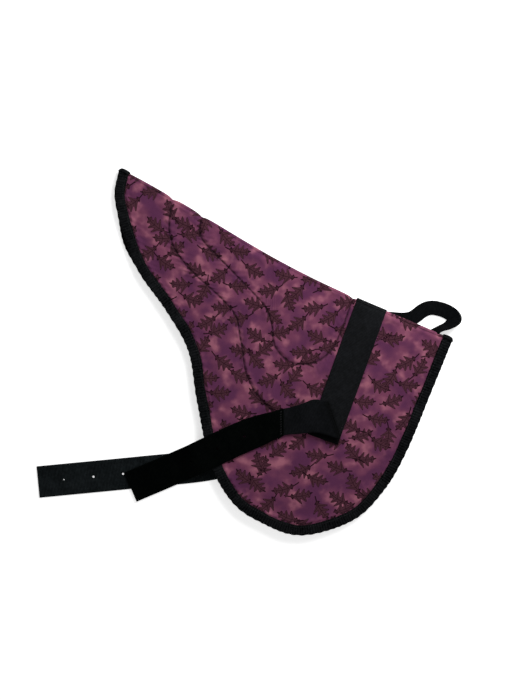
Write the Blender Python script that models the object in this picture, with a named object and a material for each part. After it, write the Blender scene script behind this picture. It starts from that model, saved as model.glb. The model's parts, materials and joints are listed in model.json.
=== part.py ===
"""A bareback riding pad, folded in half along its spine and laid on a table.

Two quilted halves (printed cover, foam, lining) meet at a curved spine seam and have a black
tape binding round their edge. A girth webbing crosses the spine and is sewn to both covers.
A loose billet with punched holes hangs from each end of it, and a webbing grab handle loops
out from the spine. The near half lies on top of the off half, as the pad is stored.

Frame: +X runs along the spine towards the withers, +Y points out past the spine, +Z is up.
The origin is under the middle of the whole object's box, on the table. Units are metres.
"""

import math

import bmesh
import bpy
import numpy as np
from mathutils import Vector

MM = 0.001

# Layers of one half, from the fold outwards
CLEARANCE = 0.3 * MM
FOLD_GAP = 0.4 * MM
LINING_THICKNESS = 1.2 * MM
FOAM_CROWN = 5.0 * MM
FOAM_AT_SEAM = 1.2 * MM
PUFF_REACH = 18.0 * MM
COVER_THICKNESS = 0.7 * MM

# Edge binding
BINDING_WIDTH = 16.5 * MM
BINDING_THICKNESS = 1.0 * MM

# Girth webbing, billets and handle
WEBBING_WIDTH = 50.0 * MM
WEBBING_THICKNESS = 2.0 * MM
GIRTH_LENGTH = 220.0 * MM
GIRTH_LEAN = math.radians(7.0)
LEAD_ROLL_RADIUS = 3.4 * MM
CREASE_SLANT = math.radians(18.0)
CREASE_FADE = 40.0 * MM
LAP_LENGTH = 18.0 * MM
TAB_LENGTH = 30.0 * MM
HOLE_DIAMETER = 5.0 * MM
HOLE_PITCH = 47.0 * MM
HOLE_COUNT = 4
OFF_FIRST_HOLE = 41.0 * MM
NEAR_FIRST_HOLE = 61.0 * MM
HANDLE_WIDTH = 23.0 * MM
HANDLE_THICKNESS = 2.0 * MM
THREAD_DIAMETER = 0.8 * MM

# The spine seam dips between the withers and the loin
SPINE_DIP = 16.5 * MM
SPINE_LOW_X = -120.0 * MM
SPINE_HALF_WAVE = 330.0 * MM

# Where the pad comes down from the straps under it to the table
TAIL_DROOP = (-440.0 * MM, -240.0 * MM)
FRONT_DROOP = (60.0 * MM, 150.0 * MM)

# Plan shapes of one half in millimetres, X from the girth webbing and Y from the spine
EDGE_POINTS = [
    (-450, 13), (-438, -24), (-402, -67), (-351, -112), (-283, -148), (-224, -188), (-176, -252),
    (-113, -329), (-57, -367), (-5, -376), (64, -366), (127, -309), (150, -244), (154, -172),
    (146, -70), (139, 11),
]
OUTER_QUILT_POINTS = [
    (-354, 8), (-332, -40), (-287, -70), (-193, -99), (-158, -136), (-124, -181), (-79, -208), (-25, -212),
    (24, -186), (40, -110), (36, 0),
]
INNER_QUILT_POINTS = [
    (-300, 4), (-284, -22), (-214, -47), (-151, -70), (-125, -93), (-107, -119), (-74, -131), (-42, -117),
    (-25, -86), (-25, -45), (-31, -1),
]
SEAT_LINE = (-262 * MM, -72 * MM)

# Strap routes in plan, in millimetres from the lower end of the girth webbing
NEAR_LEAD_ROUTE = [(0, 30), (-35, 12), (-69, -7)]
NEAR_BILLET_ROUTE = [(-69, -7), (-106, -44), (-143, -91), (-185, -146), (-235, -206)]
OFF_LEAD_ROUTE = [(-1, 11), (-42, -29), (-85, -68)]
OFF_BILLET_ROUTE = [(-85, -68), (-140, -118), (-227, -175), (-365, -263)]

# Handle route in plan, with its height and its tilt in degrees at each point
HANDLE_ROUTE = [
    (38, -4), (52, 3), (66, 14), (76, 30), (85, 43), (97, 50), (110, 52), (121, 49), (125, 41), (121, 31),
    (114, 23),
]
HANDLE_HEIGHTS = [3.6, 3.0, 2.2, 1.6, 0.8, 0.5, 0.8, 2.5, 5.0, 6.3, 6.3]
HANDLE_TILTS = [0, 2, 6, 6, 3, 0, 3, 10, 22, 29, 29]

# Mesh steps
EDGE_STEPS = 42
BAND_STEPS = 3
STRAP_STEPS = 14
SPINE_STEPS = 22
BEND_STEPS = 5
HOLE_SIDES = 12
NEAR, OFF = 1, -1

PURPLE = (0.13, 0.035, 0.10)
BLACK = (0.008, 0.009, 0.010)
CHARCOAL = (0.045, 0.045, 0.05)
CREAM = (0.55, 0.50, 0.40)


def smooth_curve(points, steps):
    """Points evenly spaced along a rounded curve through the given plan points."""
    p = np.array(points, float)
    p = np.vstack([2 * p[0] - p[1], p, 2 * p[-1] - p[-2]])
    t = np.linspace(0, 1, 16, endpoint=False)[:, None]
    fine = []
    for a, b, c, d in zip(p, p[1:], p[2:], p[3:]):
        square, cube = 2 * a - 5 * b + 4 * c - d, 3 * b - a - 3 * c + d
        fine.append(0.5 * (2 * b + (c - a) * t + square * t**2 + cube * t**3))
    fine = np.vstack([*fine, p[-2:-1]])
    return even_points(fine, steps)


def even_points(line, steps):
    """The same line with its points spread evenly along its length."""
    along = np.concatenate([[0], np.cumsum(np.linalg.norm(np.diff(line, axis=0), axis=1))])
    at = np.linspace(0, along[-1], steps + 1)
    return np.stack([np.interp(at, along, line[:, k]) for k in range(line.shape[1])], axis=1)


def plan(points, steps):
    return smooth_curve(np.array(points, float) * MM, steps)


def side_step(line, inwards):
    """A plan line moved sideways, towards its right-hand side as it runs."""
    run = np.gradient(line, axis=0)
    run /= np.linalg.norm(run, axis=1)[:, None]
    return line + inwards * np.stack([-run[:, 1], run[:, 0]], axis=1)


def spine_y(x):
    """The spine seam's own line: level at the ends, dipping towards the seat."""
    return SPINE_DIP * (1 - np.cos(math.pi * (x - SPINE_LOW_X) / SPINE_HALF_WAVE)) / 2 - 2 * MM


def ease(x, start, end):
    t = np.clip((x - start) / (end - start), 0, 1)
    return t * t * (3 - 2 * t)


def gap_to(line, x, y):
    """Least distance from each point to a line given by close points."""
    return np.sqrt(((x[..., None] - line[:, 0]) ** 2 + (y[..., None] - line[:, 1]) ** 2)).min(axis=-1)


EDGE_LINE = plan(EDGE_POINTS, 240)
QUILT_LINES = [plan(INNER_QUILT_POINTS, 160), plan(OUTER_QUILT_POINTS, 160)]
SPINE_X = np.linspace(EDGE_LINE[0, 0], EDGE_LINE[-1, 0], 160)
SPINE_LINE = np.stack([SPINE_X, spine_y(SPINE_X)], axis=1)

# Distances out from the fold plane to each face
CROWN_OUT = FOLD_GAP / 2 + LINING_THICKNESS + FOAM_CROWN + COVER_THICKNESS + 2 * CLEARANCE
SEAM_OUT = CROWN_OUT - FOAM_CROWN + FOAM_AT_SEAM
EDGE_RISE = BINDING_THICKNESS + CLEARANCE
EDGE_OUT = SEAM_OUT + 2 * EDGE_RISE
STRAPS_UNDER = 2 * (WEBBING_THICKNESS + CLEARANCE)
FOLD_HEIGHT = STRAPS_UNDER + CROWN_OUT
DROOP = FOLD_HEIGHT - EDGE_OUT
HINGE_Y = spine_y(SPINE_X).max() + CLEARANCE


def fold_z(x):
    """Height of the plane between the halves: it comes down to the table at the tail and the front."""
    return FOLD_HEIGHT - DROOP * (1 - ease(x, *TAIL_DROOP) + ease(x, *FRONT_DROOP))


def in_binding(x, y):
    """1 inside the band that the binding covers, and 0 further in."""
    return (gap_to(EDGE_LINE, x, y) < BINDING_WIDTH + 2 * CLEARANCE).astype(float)


def foam_thickness(x, y):
    """Full between seams and pressed thin along every stitched line."""
    edge = np.clip(gap_to(EDGE_LINE, x, y) - BINDING_WIDTH, 0, None)
    nearest = np.minimum(edge, gap_to(SPINE_LINE, x, y))
    for line in QUILT_LINES:
        nearest = np.minimum(nearest, gap_to(line, x, y))
    return FOAM_AT_SEAM + (FOAM_CROWN - FOAM_AT_SEAM) * (1 - np.exp(-nearest / PUFF_REACH))


def cover_face(x, y):
    """Distance of the cover's outside from the fold plane."""
    inside = FOLD_GAP / 2 + EDGE_RISE * in_binding(x, y) + LINING_THICKNESS
    return inside + CLEARANCE + foam_thickness(x, y) + CLEARANCE + COVER_THICKNESS


def half_grid():
    """Plan points of one half, as nested rings from the seat line out to the edge."""
    seat_x = np.linspace(*SEAT_LINE, EDGE_STEPS + 1)
    seat = np.stack([seat_x, spine_y(seat_x)], axis=1)
    edge = side_step(plan(EDGE_POINTS, EDGE_STEPS), BINDING_THICKNESS + CLEARANCE)
    band = side_step(plan(EDGE_POINTS, EDGE_STEPS), BINDING_WIDTH + CLEARANCE)
    rings = [seat, plan(INNER_QUILT_POINTS, EDGE_STEPS), plan(OUTER_QUILT_POINTS, EDGE_STEPS), band]
    for ring in [*rings, edge]:
        for end in (0, -1):
            ring[end, 1] = spine_y(ring[end, 0])
    share = np.arange(BAND_STEPS) / BAND_STEPS
    rows = [a + (b - a) * s for a, b in zip(rings, rings[1:]) for s in share]
    grid = np.array([*rows, band, edge])
    grid[..., 1] = np.minimum(grid[..., 1], spine_y(grid[..., 0]))
    return grid


def material(name, colour, roughness):
    made = bpy.data.materials.new(name)
    made.use_nodes = True
    shader = made.node_tree.nodes["Principled BSDF"]
    shader.inputs["Base Color"].default_value = (*colour, 1)
    shader.inputs["Roughness"].default_value = roughness
    shader.inputs["Metallic"].default_value = 0.0
    return made


def solid(name, points, faces, finish):
    """A named object from points and faces, with its faces turned outwards."""
    mesh = bpy.data.meshes.new(name)
    mesh.from_pydata(np.asarray(points, float).tolist(), [], faces)
    shape = bmesh.new()
    shape.from_mesh(mesh)
    bmesh.ops.recalc_face_normals(shape, faces=shape.faces)
    shape.to_mesh(mesh)
    shape.free()
    mesh.shade_smooth()
    mesh.set_sharp_from_angle(angle=math.radians(40))
    mesh.materials.append(finish)
    made = bpy.data.objects.new(name, mesh)
    bpy.context.scene.collection.objects.link(made)
    return made


def slab(name, grid, near_face, far_face, finish):
    """A closed sheet between two heights over one plan grid."""
    rows, columns = grid.shape[:2]
    layers = [np.dstack([grid, face]).reshape(-1, 3) for face in (near_face, far_face)]
    count = rows * columns
    faces = []
    for r in range(rows - 1):
        for c in range(columns - 1):
            a = r * columns + c
            b = a + columns + 1
            for face in ((a, a + 1, b), (a, b, a + columns)):
                faces.append(face)
                faces.append(tuple(count + k for k in reversed(face)))
    around = [*range(columns - 1), *range(columns - 1, count - 1, columns)]
    around += [*range(count - 1, count - columns, -1), *range(count - columns, 0, -columns)]
    for a, b in zip(around, around[1:] + around[:1]):
        faces.append((a, b, count + b, count + a))
    return solid(name, np.vstack(layers), faces, finish)


def sweep(name, sections, finish):
    """A closed bar through a row of like outlines, with both ends filled."""
    rings = np.asarray(sections, float)
    count, sides = rings.shape[:2]
    faces = [tuple(range(sides)), tuple((count - 1) * sides + k for k in reversed(range(sides)))]
    for i in range(count - 1):
        for k in range(sides):
            a, b = i * sides + k, i * sides + (k + 1) % sides
            faces.append((a, b, b + sides, a + sides))
    return solid(name, rings.reshape(-1, 3), faces, finish)


def ribbon(name, centres, across, width, thickness, finish):
    """A flat strap along its underside's middle line, with its width along the given directions."""
    centres, across = np.asarray(centres, float), np.asarray(across, float)
    run = np.gradient(centres, axis=0)
    up = np.cross(run, across)
    up /= np.linalg.norm(up, axis=1)[:, None]
    sections = []
    for point, side, rise in zip(centres, across, up):
        half, lift = side * width / 2, rise * thickness
        sections.append([point - half, point + half, point + half + lift, point - half + lift])
    return sweep(name, sections, finish)


def level_across(line):
    """Level directions square to a route, to its left as it runs."""
    run = np.gradient(line, axis=0)[:, :2]
    run /= np.linalg.norm(run, axis=1)[:, None]
    return np.stack([-run[:, 1], run[:, 0], np.zeros(len(run))], axis=1)


def heights_along(route, stops):
    """A height for each point of a route, from (distance, height) stops."""
    along = np.concatenate([[0], np.cumsum(np.linalg.norm(np.diff(route, axis=0), axis=1))])
    distances, heights = zip(*stops)
    z = np.interp(along, distances, heights)
    return np.column_stack([route, z])


def join(child, parent):
    child.parent = parent


def make_half(name, side, finishes):
    """The cover, foam, lining and binding of one half."""
    grid = half_grid()
    x, y = grid[..., 0], grid[..., 1]
    rim = np.zeros(x.shape)
    rim[-2:] = EDGE_RISE
    fold = fold_z(x)
    faces = [FOLD_GAP / 2 + rim]
    for thickness in (LINING_THICKNESS, CLEARANCE, foam_thickness(x, y), CLEARANCE, COVER_THICKNESS):
        faces.append(faces[-1] + thickness)
    z = [fold + side * face for face in faces]
    made = [
        slab(name + "_lining", grid, z[0], z[1], finishes["lining"]),
        slab(name + "_foam", grid, z[2], z[3], finishes["foam"]),
        slab(name + "_cover", grid, z[4], z[5], finishes["cover"]),
    ]
    return [*made, make_binding(name, side, finishes["binding"])]


def make_binding(name, side, finish):
    """A tape folded over the edge of one half, as a channel along its outline."""
    line = plan(EDGE_POINTS, EDGE_STEPS)
    run = np.gradient(line, axis=0)
    run /= np.linalg.norm(run, axis=1)[:, None]
    inwards = np.stack([-run[:, 1], run[:, 0]], axis=1)
    low, high = FOLD_GAP / 2, EDGE_OUT
    wall, corner = BINDING_THICKNESS, 1.2 * BINDING_THICKNESS
    outline = [
        (BINDING_WIDTH, low), (corner, low), (0, low + corner), (0, high - corner), (corner, high),
        (BINDING_WIDTH, high), (BINDING_WIDTH, high - wall), (wall, high - wall), (wall, low + wall),
        (BINDING_WIDTH, low + wall),
    ]
    sections = []
    for point, inward in zip(line, inwards):
        section = []
        for depth, out in outline:
            x, y = point + depth * inward
            section.append((x, min(y, spine_y(x)), fold_z(x) + side * out))
        sections.append(section)
    return sweep(name + "_binding", sections, finish)


def girth_point(distance):
    """A plan point on the girth webbing's middle line, that far below the spine."""
    return np.array([distance * math.sin(GIRTH_LEAN), spine_y(0.0) - distance * math.cos(GIRTH_LEAN)])


def strap_plan(points, steps):
    """A strap's route in plan, carried by the lower end of the girth webbing."""
    return plan(points, steps) + girth_point(GIRTH_LENGTH)


def webbing_out(distance):
    """How far the webbing's underside stands off the fold plane, rising from the seam to the crown."""
    return SEAM_OUT + (CROWN_OUT - SEAM_OUT) * min(1.0, distance / PUFF_REACH) + CLEARANCE


def make_girth(name, side, finish):
    """The webbing sewn to one cover, from the spine down."""
    stops = [CLEARANCE, PUFF_REACH, GIRTH_LENGTH / 2, GIRTH_LENGTH]
    centres = []
    for distance in stops:
        x, y = girth_point(distance)
        centres.append((x, y, fold_z(x) + side * webbing_out(distance)))
    across = np.tile([side * math.cos(GIRTH_LEAN), side * math.sin(GIRTH_LEAN), 0], (len(stops), 1))
    seam = Vector((WEBBING_WIDTH, spine_y(WEBBING_WIDTH / 2) - spine_y(-WEBBING_WIDTH / 2), 0)).normalized()
    across[0] = side * np.array(seam)
    return ribbon(name + "_girth_webbing", centres, across, WEBBING_WIDTH, WEBBING_THICKNESS, finish)


def half_ring(x, y, inner, outer):
    """The section of a layer that bends round the spine from one half to the other."""
    angles = np.linspace(math.pi / 2, -math.pi / 2, BEND_STEPS + 2)
    z = fold_z(x)
    ring = [(x, y + outer * math.cos(a), z + outer * math.sin(a)) for a in angles]
    return ring + [(x, y + inner * math.cos(a), z + inner * math.sin(a)) for a in reversed(angles)]


def make_spine(finishes):
    """The cover, girth webbing and binding where they bend round the spine."""
    ends = EDGE_LINE[0, 0] + BINDING_WIDTH, EDGE_LINE[-1, 0] - BINDING_WIDTH
    inner = SEAM_OUT - COVER_THICKNESS
    cover = [half_ring(x, spine_y(x) + CLEARANCE, inner, SEAM_OUT) for x in np.linspace(*ends, SPINE_STEPS)]
    reach = SEAM_OUT + CLEARANCE
    half = WEBBING_WIDTH / 2
    over = reach + WEBBING_THICKNESS
    web = [half_ring(x, spine_y(x) + CLEARANCE, reach, over) for x in np.linspace(-half, half, 5)]
    made = [
        sweep("spine_cover", cover, finishes["cover"]),
        sweep("spine_girth_webbing", web, finishes["webbing"]),
    ]
    for name, edge, inwards in (("rear", ends[0], -1), ("front", ends[1], 1)):
        stops = edge + inwards * np.linspace(CLEARANCE, BINDING_WIDTH, 3)
        fold = [
            half_ring(x, spine_y(x) + CLEARANCE, EDGE_OUT - BINDING_THICKNESS, EDGE_OUT) for x in stops
        ]
        made.append(sweep(name + "_binding_fold", fold, finishes["binding"]))
    return made


def punched(strap, route, first, count):
    """The strap with a row of round holes, counted from its free end."""
    line = even_points(route[::-1], 400)
    along = np.concatenate([[0], np.cumsum(np.linalg.norm(np.diff(line, axis=0), axis=1))])
    for k in range(count):
        centre = [np.interp(first + k * HOLE_PITCH, along, line[:, axis]) for axis in range(3)]
        bpy.ops.mesh.primitive_cylinder_add(
            vertices=HOLE_SIDES, radius=HOLE_DIAMETER / 2, depth=8 * WEBBING_THICKNESS, location=centre
        )
        cutter = bpy.context.active_object
        cutter.name = f"{strap.name}_punch_{k + 1}"
        cutter.hide_render = True
        cutter.display_type = "WIRE"
        cut = strap.modifiers.new(f"hole_{k + 1}", "BOOLEAN")
        cut.object = cutter
        cut.operation = "DIFFERENCE"
    return strap


def make_near_strap(finish):
    """The near lead, folded off the webbing on a slanted crease, and the billet lapped on its far end."""
    on_webbing = FOLD_HEIGHT + webbing_out(GIRTH_LENGTH) + WEBBING_THICKNESS + CLEARANCE
    on_cover = FOLD_HEIGHT + CROWN_OUT + CLEARANCE
    route = strap_plan(NEAR_LEAD_ROUTE, STRAP_STEPS)
    root = route[0]
    heading = (route[1] - route[0]) / np.linalg.norm(route[1] - route[0])
    axis_z = on_webbing + LEAD_ROLL_RADIUS
    inner = LEAD_ROLL_RADIUS - WEBBING_THICKNESS
    roll = []
    for turn in np.radians(np.linspace(-100, 60, 6)):
        x, y = root - heading * inner * math.cos(turn)
        roll.append((x, y, axis_z + inner * math.sin(turn)))
    length = np.linalg.norm(np.diff(route, axis=0), axis=1).sum()
    top = axis_z + inner
    arch = [(0, top), (0.3 * length, top), (length - LAP_LENGTH, on_cover), (length, on_cover)]
    rise = heights_along(route, arch)
    lead_line = np.vstack([roll, rise])
    slant = -math.tan(CREASE_SLANT) * np.array([*heading, 0])
    along = np.linspace(0, length, len(rise))
    slanted = level_across(rise) + slant * (1 - ease(along, 0, CREASE_FADE))[:, None]
    across = np.vstack([np.tile(slanted[0], (len(roll), 1)), slanted])
    lead = ribbon("near_lead", lead_line, across, WEBBING_WIDTH, WEBBING_THICKNESS, finish)

    over_lead = on_cover + WEBBING_THICKNESS + CLEARANCE
    on_table = WEBBING_THICKNESS + 2 * CLEARANCE
    edge = gap_to_edge(NEAR_BILLET_ROUTE)
    lap_start = lap_back(route, LAP_LENGTH)
    billet_route = even_points(np.vstack([lap_start, strap_plan(NEAR_BILLET_ROUTE, 40)]), 22)
    stops = [
        (0, over_lead), (LAP_LENGTH + 4 * MM, over_lead), (LAP_LENGTH + 30 * MM, on_cover),
        (LAP_LENGTH + edge + 12 * MM, on_cover), (LAP_LENGTH + edge + 48 * MM, on_table), (1.0, on_table),
    ]
    billet_line = heights_along(billet_route, stops)
    billet = ribbon(
        "near_billet", billet_line, level_across(billet_line), WEBBING_WIDTH, WEBBING_THICKNESS, finish
    )
    tab_route = even_points(np.array([root + 6 * MM * heading, root + TAB_LENGTH * heading]), 2)
    tab_line = np.column_stack([tab_route, np.full(3, on_webbing)])
    tab_across = level_across(tab_line) + slant
    tab = ribbon("near_strap_tab", tab_line, tab_across, WEBBING_WIDTH, WEBBING_THICKNESS, finish)
    return lead, punched(billet, billet_line, NEAR_FIRST_HOLE, HOLE_COUNT), tab


def lap_back(route, length):
    """The last stretch of a route, that long, where the next strap lies over it."""
    along = np.concatenate([[0], np.cumsum(np.linalg.norm(np.diff(route, axis=0), axis=1))])
    start = [np.interp(along[-1] - length, along, route[:, axis]) for axis in range(2)]
    return np.array([start])


def gap_to_edge(points):
    """How far along a billet's route it runs before it leaves the pad."""
    line = strap_plan(points, 200)
    nearest = gap_to(EDGE_LINE, line[:, 0], line[:, 1]).argmin()
    return np.linalg.norm(np.diff(line[: nearest + 1], axis=0), axis=1).sum()


def make_off_strap(finish):
    """The off lead, sewn under the webbing's end and flat on the table, and its billet."""
    route = strap_plan(OFF_LEAD_ROUTE, 6)
    lead_line = heights_along(route, [(0, 0.0), (1.0, 0.0)])
    lead = ribbon("off_lead", lead_line, level_across(lead_line), WEBBING_WIDTH, WEBBING_THICKNESS, finish)
    over_lead = WEBBING_THICKNESS + CLEARANCE
    lap_start = lap_back(route, LAP_LENGTH)
    billet_route = even_points(np.vstack([lap_start, strap_plan(OFF_BILLET_ROUTE, 40)]), 14)
    stops = [(0, over_lead), (LAP_LENGTH + 3 * MM, over_lead), (LAP_LENGTH + 30 * MM, 0.0), (1.0, 0.0)]
    billet_line = heights_along(billet_route, stops)
    billet = ribbon(
        "off_billet", billet_line, level_across(billet_line), WEBBING_WIDTH, WEBBING_THICKNESS, finish
    )
    return lead, punched(billet, billet_line, OFF_FIRST_HOLE, HOLE_COUNT)


def make_handle(finish):
    """The grab handle: a webbing loop that lies flat from under the spine and turns up at its front end."""
    steps = 3 * (len(HANDLE_ROUTE) - 1)
    route, heights = np.array(HANDLE_ROUTE) * MM, np.array(HANDLE_HEIGHTS) * MM
    rows = smooth_curve(np.column_stack([route, heights, np.radians(HANDLE_TILTS)]), steps)
    centres, tilt = rows[:, :3], rows[:, 3]
    flat = level_across(centres)
    across = flat * np.cos(tilt)[:, None] + np.array([0, 0, 1]) * np.sin(tilt)[:, None]
    return ribbon("grab_handle", centres, across, HANDLE_WIDTH, HANDLE_THICKNESS, finish)


def girth_edge_x(y):
    """Where the girth webbing's rear edge is, at each distance along Y."""
    return (spine_y(0.0) - y) * math.tan(GIRTH_LEAN) - WEBBING_WIDTH / 2 / math.cos(GIRTH_LEAN)


def make_thread(name, points, side, finish):
    """A line of quilting thread in its channel on one cover."""
    line = plan(points, EDGE_STEPS)
    line = line[(line[:, 1] < spine_y(line[:, 0]) - 8 * MM)]
    room = girth_edge_x(line[:, 1]) - THREAD_DIAMETER - CLEARANCE - line[:, 0]
    last = int(np.argmax(room < 0)) or len(line)
    if last < len(line):
        share = room[last - 1] / (room[last - 1] - room[last])
        line[last] = line[last - 1] + share * (line[last] - line[last - 1])
    line = line[: last + 1]
    stand_off = CLEARANCE + THREAD_DIAMETER / 2
    x, y = line.T
    z = fold_z(x) + side * (cover_face(x, y) + stand_off)
    data = bpy.data.curves.new(name, "CURVE")
    data.dimensions = "3D"
    data.bevel_depth = THREAD_DIAMETER / 2
    data.bevel_resolution = 0
    data.use_fill_caps = True
    spline = data.splines.new("POLY")
    spline.points.add(len(line) - 1)
    for point, at in zip(spline.points, np.column_stack([x, y, z])):
        point.co = (*at, 1)
    data.materials.append(finish)
    made = bpy.data.objects.new(name, data)
    bpy.context.scene.collection.objects.link(made)
    return made


def centre_on_box(root):
    """Moves the assembly so that the origin is under the middle of its box."""
    bpy.context.view_layer.update()
    graph = bpy.context.evaluated_depsgraph_get()
    corners = []
    for part in root.children_recursive:
        if part.type in {"MESH", "CURVE"} and not part.hide_render:
            mesh = part.evaluated_get(graph).to_mesh()
            corners += [part.matrix_world @ vertex.co for vertex in mesh.vertices]
    low = Vector(min(c[k] for c in corners) for k in range(3))
    high = Vector(max(c[k] for c in corners) for k in range(3))
    root.location = (-(low.x + high.x) / 2, -(low.y + high.y) / 2, -low.z)


def main():
    for old in list(bpy.data.objects):
        bpy.data.objects.remove(old, do_unlink=True)
    finishes = {
        "cover": material("printed_cotton", PURPLE, 0.85),
        "foam": material("foam", CREAM, 0.9),
        "lining": material("fleece_lining", CHARCOAL, 0.95),
        "binding": material("binding_tape", BLACK, 0.75),
        "webbing": material("black_webbing", BLACK, 0.6),
        "thread": material("quilting_thread", (0.03, 0.01, 0.03), 0.6),
    }
    parts = [*make_half("near", NEAR, finishes), *make_half("off", OFF, finishes), *make_spine(finishes)]
    for name, side in (("near", NEAR), ("off", OFF)):
        parts.append(make_girth(name, side, finishes["webbing"]))
        parts.append(make_thread(name + "_outer_quilting", OUTER_QUILT_POINTS, side, finishes["thread"]))
        parts.append(make_thread(name + "_inner_quilting", INNER_QUILT_POINTS, side, finishes["thread"]))
    parts += make_near_strap(finishes["webbing"])
    parts += make_off_strap(finishes["webbing"])
    parts.append(make_handle(finishes["webbing"]))

    root = bpy.data.objects.new("pad_origin", None)
    bpy.context.scene.collection.objects.link(root)
    for part in parts:
        join(part, root)
        for cut in part.modifiers:
            join(cut.object, root)
    centre_on_box(root)


main()
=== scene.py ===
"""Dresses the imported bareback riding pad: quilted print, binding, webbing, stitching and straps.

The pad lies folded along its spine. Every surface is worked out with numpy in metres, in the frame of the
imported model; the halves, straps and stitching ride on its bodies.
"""

import json
import logging
import math
from dataclasses import dataclass, field
from enum import Enum
from typing import Any

import bpy
import numpy as np
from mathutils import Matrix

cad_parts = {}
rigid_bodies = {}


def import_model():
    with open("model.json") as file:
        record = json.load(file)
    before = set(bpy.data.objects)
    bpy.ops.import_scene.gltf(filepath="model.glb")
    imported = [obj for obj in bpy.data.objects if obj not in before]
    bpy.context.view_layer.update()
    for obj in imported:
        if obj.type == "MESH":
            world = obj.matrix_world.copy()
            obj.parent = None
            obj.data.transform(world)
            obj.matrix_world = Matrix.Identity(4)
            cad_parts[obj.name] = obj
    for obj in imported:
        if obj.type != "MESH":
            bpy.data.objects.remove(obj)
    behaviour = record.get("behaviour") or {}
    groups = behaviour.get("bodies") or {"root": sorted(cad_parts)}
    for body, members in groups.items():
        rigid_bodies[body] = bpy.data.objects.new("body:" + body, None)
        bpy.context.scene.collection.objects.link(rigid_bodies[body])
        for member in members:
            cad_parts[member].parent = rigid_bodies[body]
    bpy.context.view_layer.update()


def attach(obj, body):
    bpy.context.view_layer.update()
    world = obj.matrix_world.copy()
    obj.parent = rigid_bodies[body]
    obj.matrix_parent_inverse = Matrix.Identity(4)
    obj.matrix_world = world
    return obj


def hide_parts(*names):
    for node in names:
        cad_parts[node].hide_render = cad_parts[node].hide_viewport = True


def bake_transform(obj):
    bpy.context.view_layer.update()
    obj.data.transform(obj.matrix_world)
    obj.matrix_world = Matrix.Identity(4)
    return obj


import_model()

Array = np.ndarray
LOG = logging.getLogger("bareback_pad")
MM = 0.001
UP = np.array([0.0, 0.0, 1.0])

# Where the girth webbing's middle line starts, near the spine, in the frame
PLAN_ORIGIN = np.array([0.147863, 0.218068])


class Side(Enum):
    """The half on top as the pad lies, and the half under it."""

    NEAR = 1
    OFF = -1

    @property
    def body(self) -> str:
        """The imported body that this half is."""
        return f"{self.name.lower()}_half"

    @property
    def label(self) -> str:
        """The half's name as pieces carry it."""
        return self.name.lower()


# Curves and meshes


def even_points(line: Array, steps: int) -> Array:
    """Spreads points evenly along a line by interpolating on its running length.

    Args:
        line: Points of the line, one per row.
        steps: How many equal steps to make.

    Returns:
        The steps + 1 points.
    """
    along = running_length(line)
    at = np.linspace(0.0, along[-1], steps + 1)
    return sampled(line, along, at)


def running_length(line: Array) -> Array:
    """Distance travelled along a line at each of its points, starting from zero."""
    return np.concatenate([[0.0], np.cumsum(np.linalg.norm(np.diff(line, axis=0), axis=1))])


def sampled(values: Array, along: Array, at: Array) -> Array:
    """Reads values off along a line by linear interpolation.

    Args:
        values: Rows of values, one for each point of the line.
        along: Running length at those points.
        at: Distances to read at, in a grid of any shape.

    Returns:
        The grid, with one more axis for the values.
    """
    return np.stack([np.interp(at, along, column) for column in values.T], axis=-1)


def wander(along: Array, wave: tuple, drift: Array | None = None) -> Array:
    """A wave whose pitch drifts: sin(s / pitch + sway sin(d / slow)).

    Args:
        along: Distances s.
        wave: The pitch over 2 pi, the sway and the slow pitch over 2 pi.
        drift: Distances d, where they aren't s.

    Returns:
        Values from -1 to 1.
    """
    pitch, sway, slow = wave
    drift = along if drift is None else drift
    return np.sin(along / pitch + sway * np.sin(drift / slow))


def rounded(points: Any, steps: int) -> Array:
    """A cubic curve through every point, with each tangent half the step between its neighbours.

    Args:
        points: The points that the curve passes through, one per row.
        steps: How many equal steps to return.

    Returns:
        The steps + 1 points, evenly spaced.
    """
    p = np.asarray(points, float)
    p = np.vstack([2 * p[0] - p[1], p, 2 * p[-1] - p[-2]])
    a, b, c, d = (p[k : len(p) - 3 + k, None, :] for k in range(4))
    t = np.linspace(0, 1, 24, endpoint=False)[None, :, None]
    fine = 0.5 * (2 * b + (c - a) * t + (2 * a - 5 * b + 4 * c - d) * t**2 + (3 * b - a - 3 * c + d) * t**3)
    return even_points(np.vstack([fine.reshape(-1, p.shape[1]), p[-2:-1]]), steps)


def unit(vectors: Array) -> Array:
    """The same vectors with a length of one."""
    return vectors / np.maximum(np.linalg.norm(vectors, axis=-1, keepdims=True), 1e-12)


def ease(x: Array, start: float, end: float) -> Array:
    """Smooth step from 0 at start to 1 at end: 3 t squared less 2 t cubed."""
    t = np.clip((x - start) / (end - start), 0.0, 1.0)
    return t * t * (3 - 2 * t)


def gap_to(line: Array, plan: Array) -> Array:
    """Least plan distance from each point of a grid to a line.

    Args:
        line: Close points of the line.
        plan: Plan points, in a grid of any shape.

    Returns:
        Distances, in the same grid.
    """
    x, y = plan[..., 0], plan[..., 1]
    best = np.full(x.shape, np.inf)
    for px, py in line:
        best = np.minimum(best, (x - px) ** 2 + (y - py) ** 2)
    return np.sqrt(best)


def level_left(line: Array) -> Array:
    """Level unit directions square to a route, to its left as it runs."""
    run = unit(np.gradient(line, axis=0)[:, :2])
    return np.column_stack([-run[:, 1], run[:, 0], np.zeros(len(run))])


def grid_quads(rows: int, columns: int, wrap: bool = False) -> Array:
    """Corner numbers of every quad of a grid of points numbered row by row.

    Args:
        rows: Number of rows of points.
        columns: Number of points in a row.
        wrap: Whether each row closes on itself.

    Returns:
        One row of four corner numbers for each quad.
    """
    r = np.arange(rows - 1)[:, None]
    c = np.arange(columns if wrap else columns - 1)[None, :]
    a = r * columns + c
    b = r * columns + (c + 1) % columns
    return np.stack([a, b, b + columns, a + columns], axis=-1).reshape(-1, 4)


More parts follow.
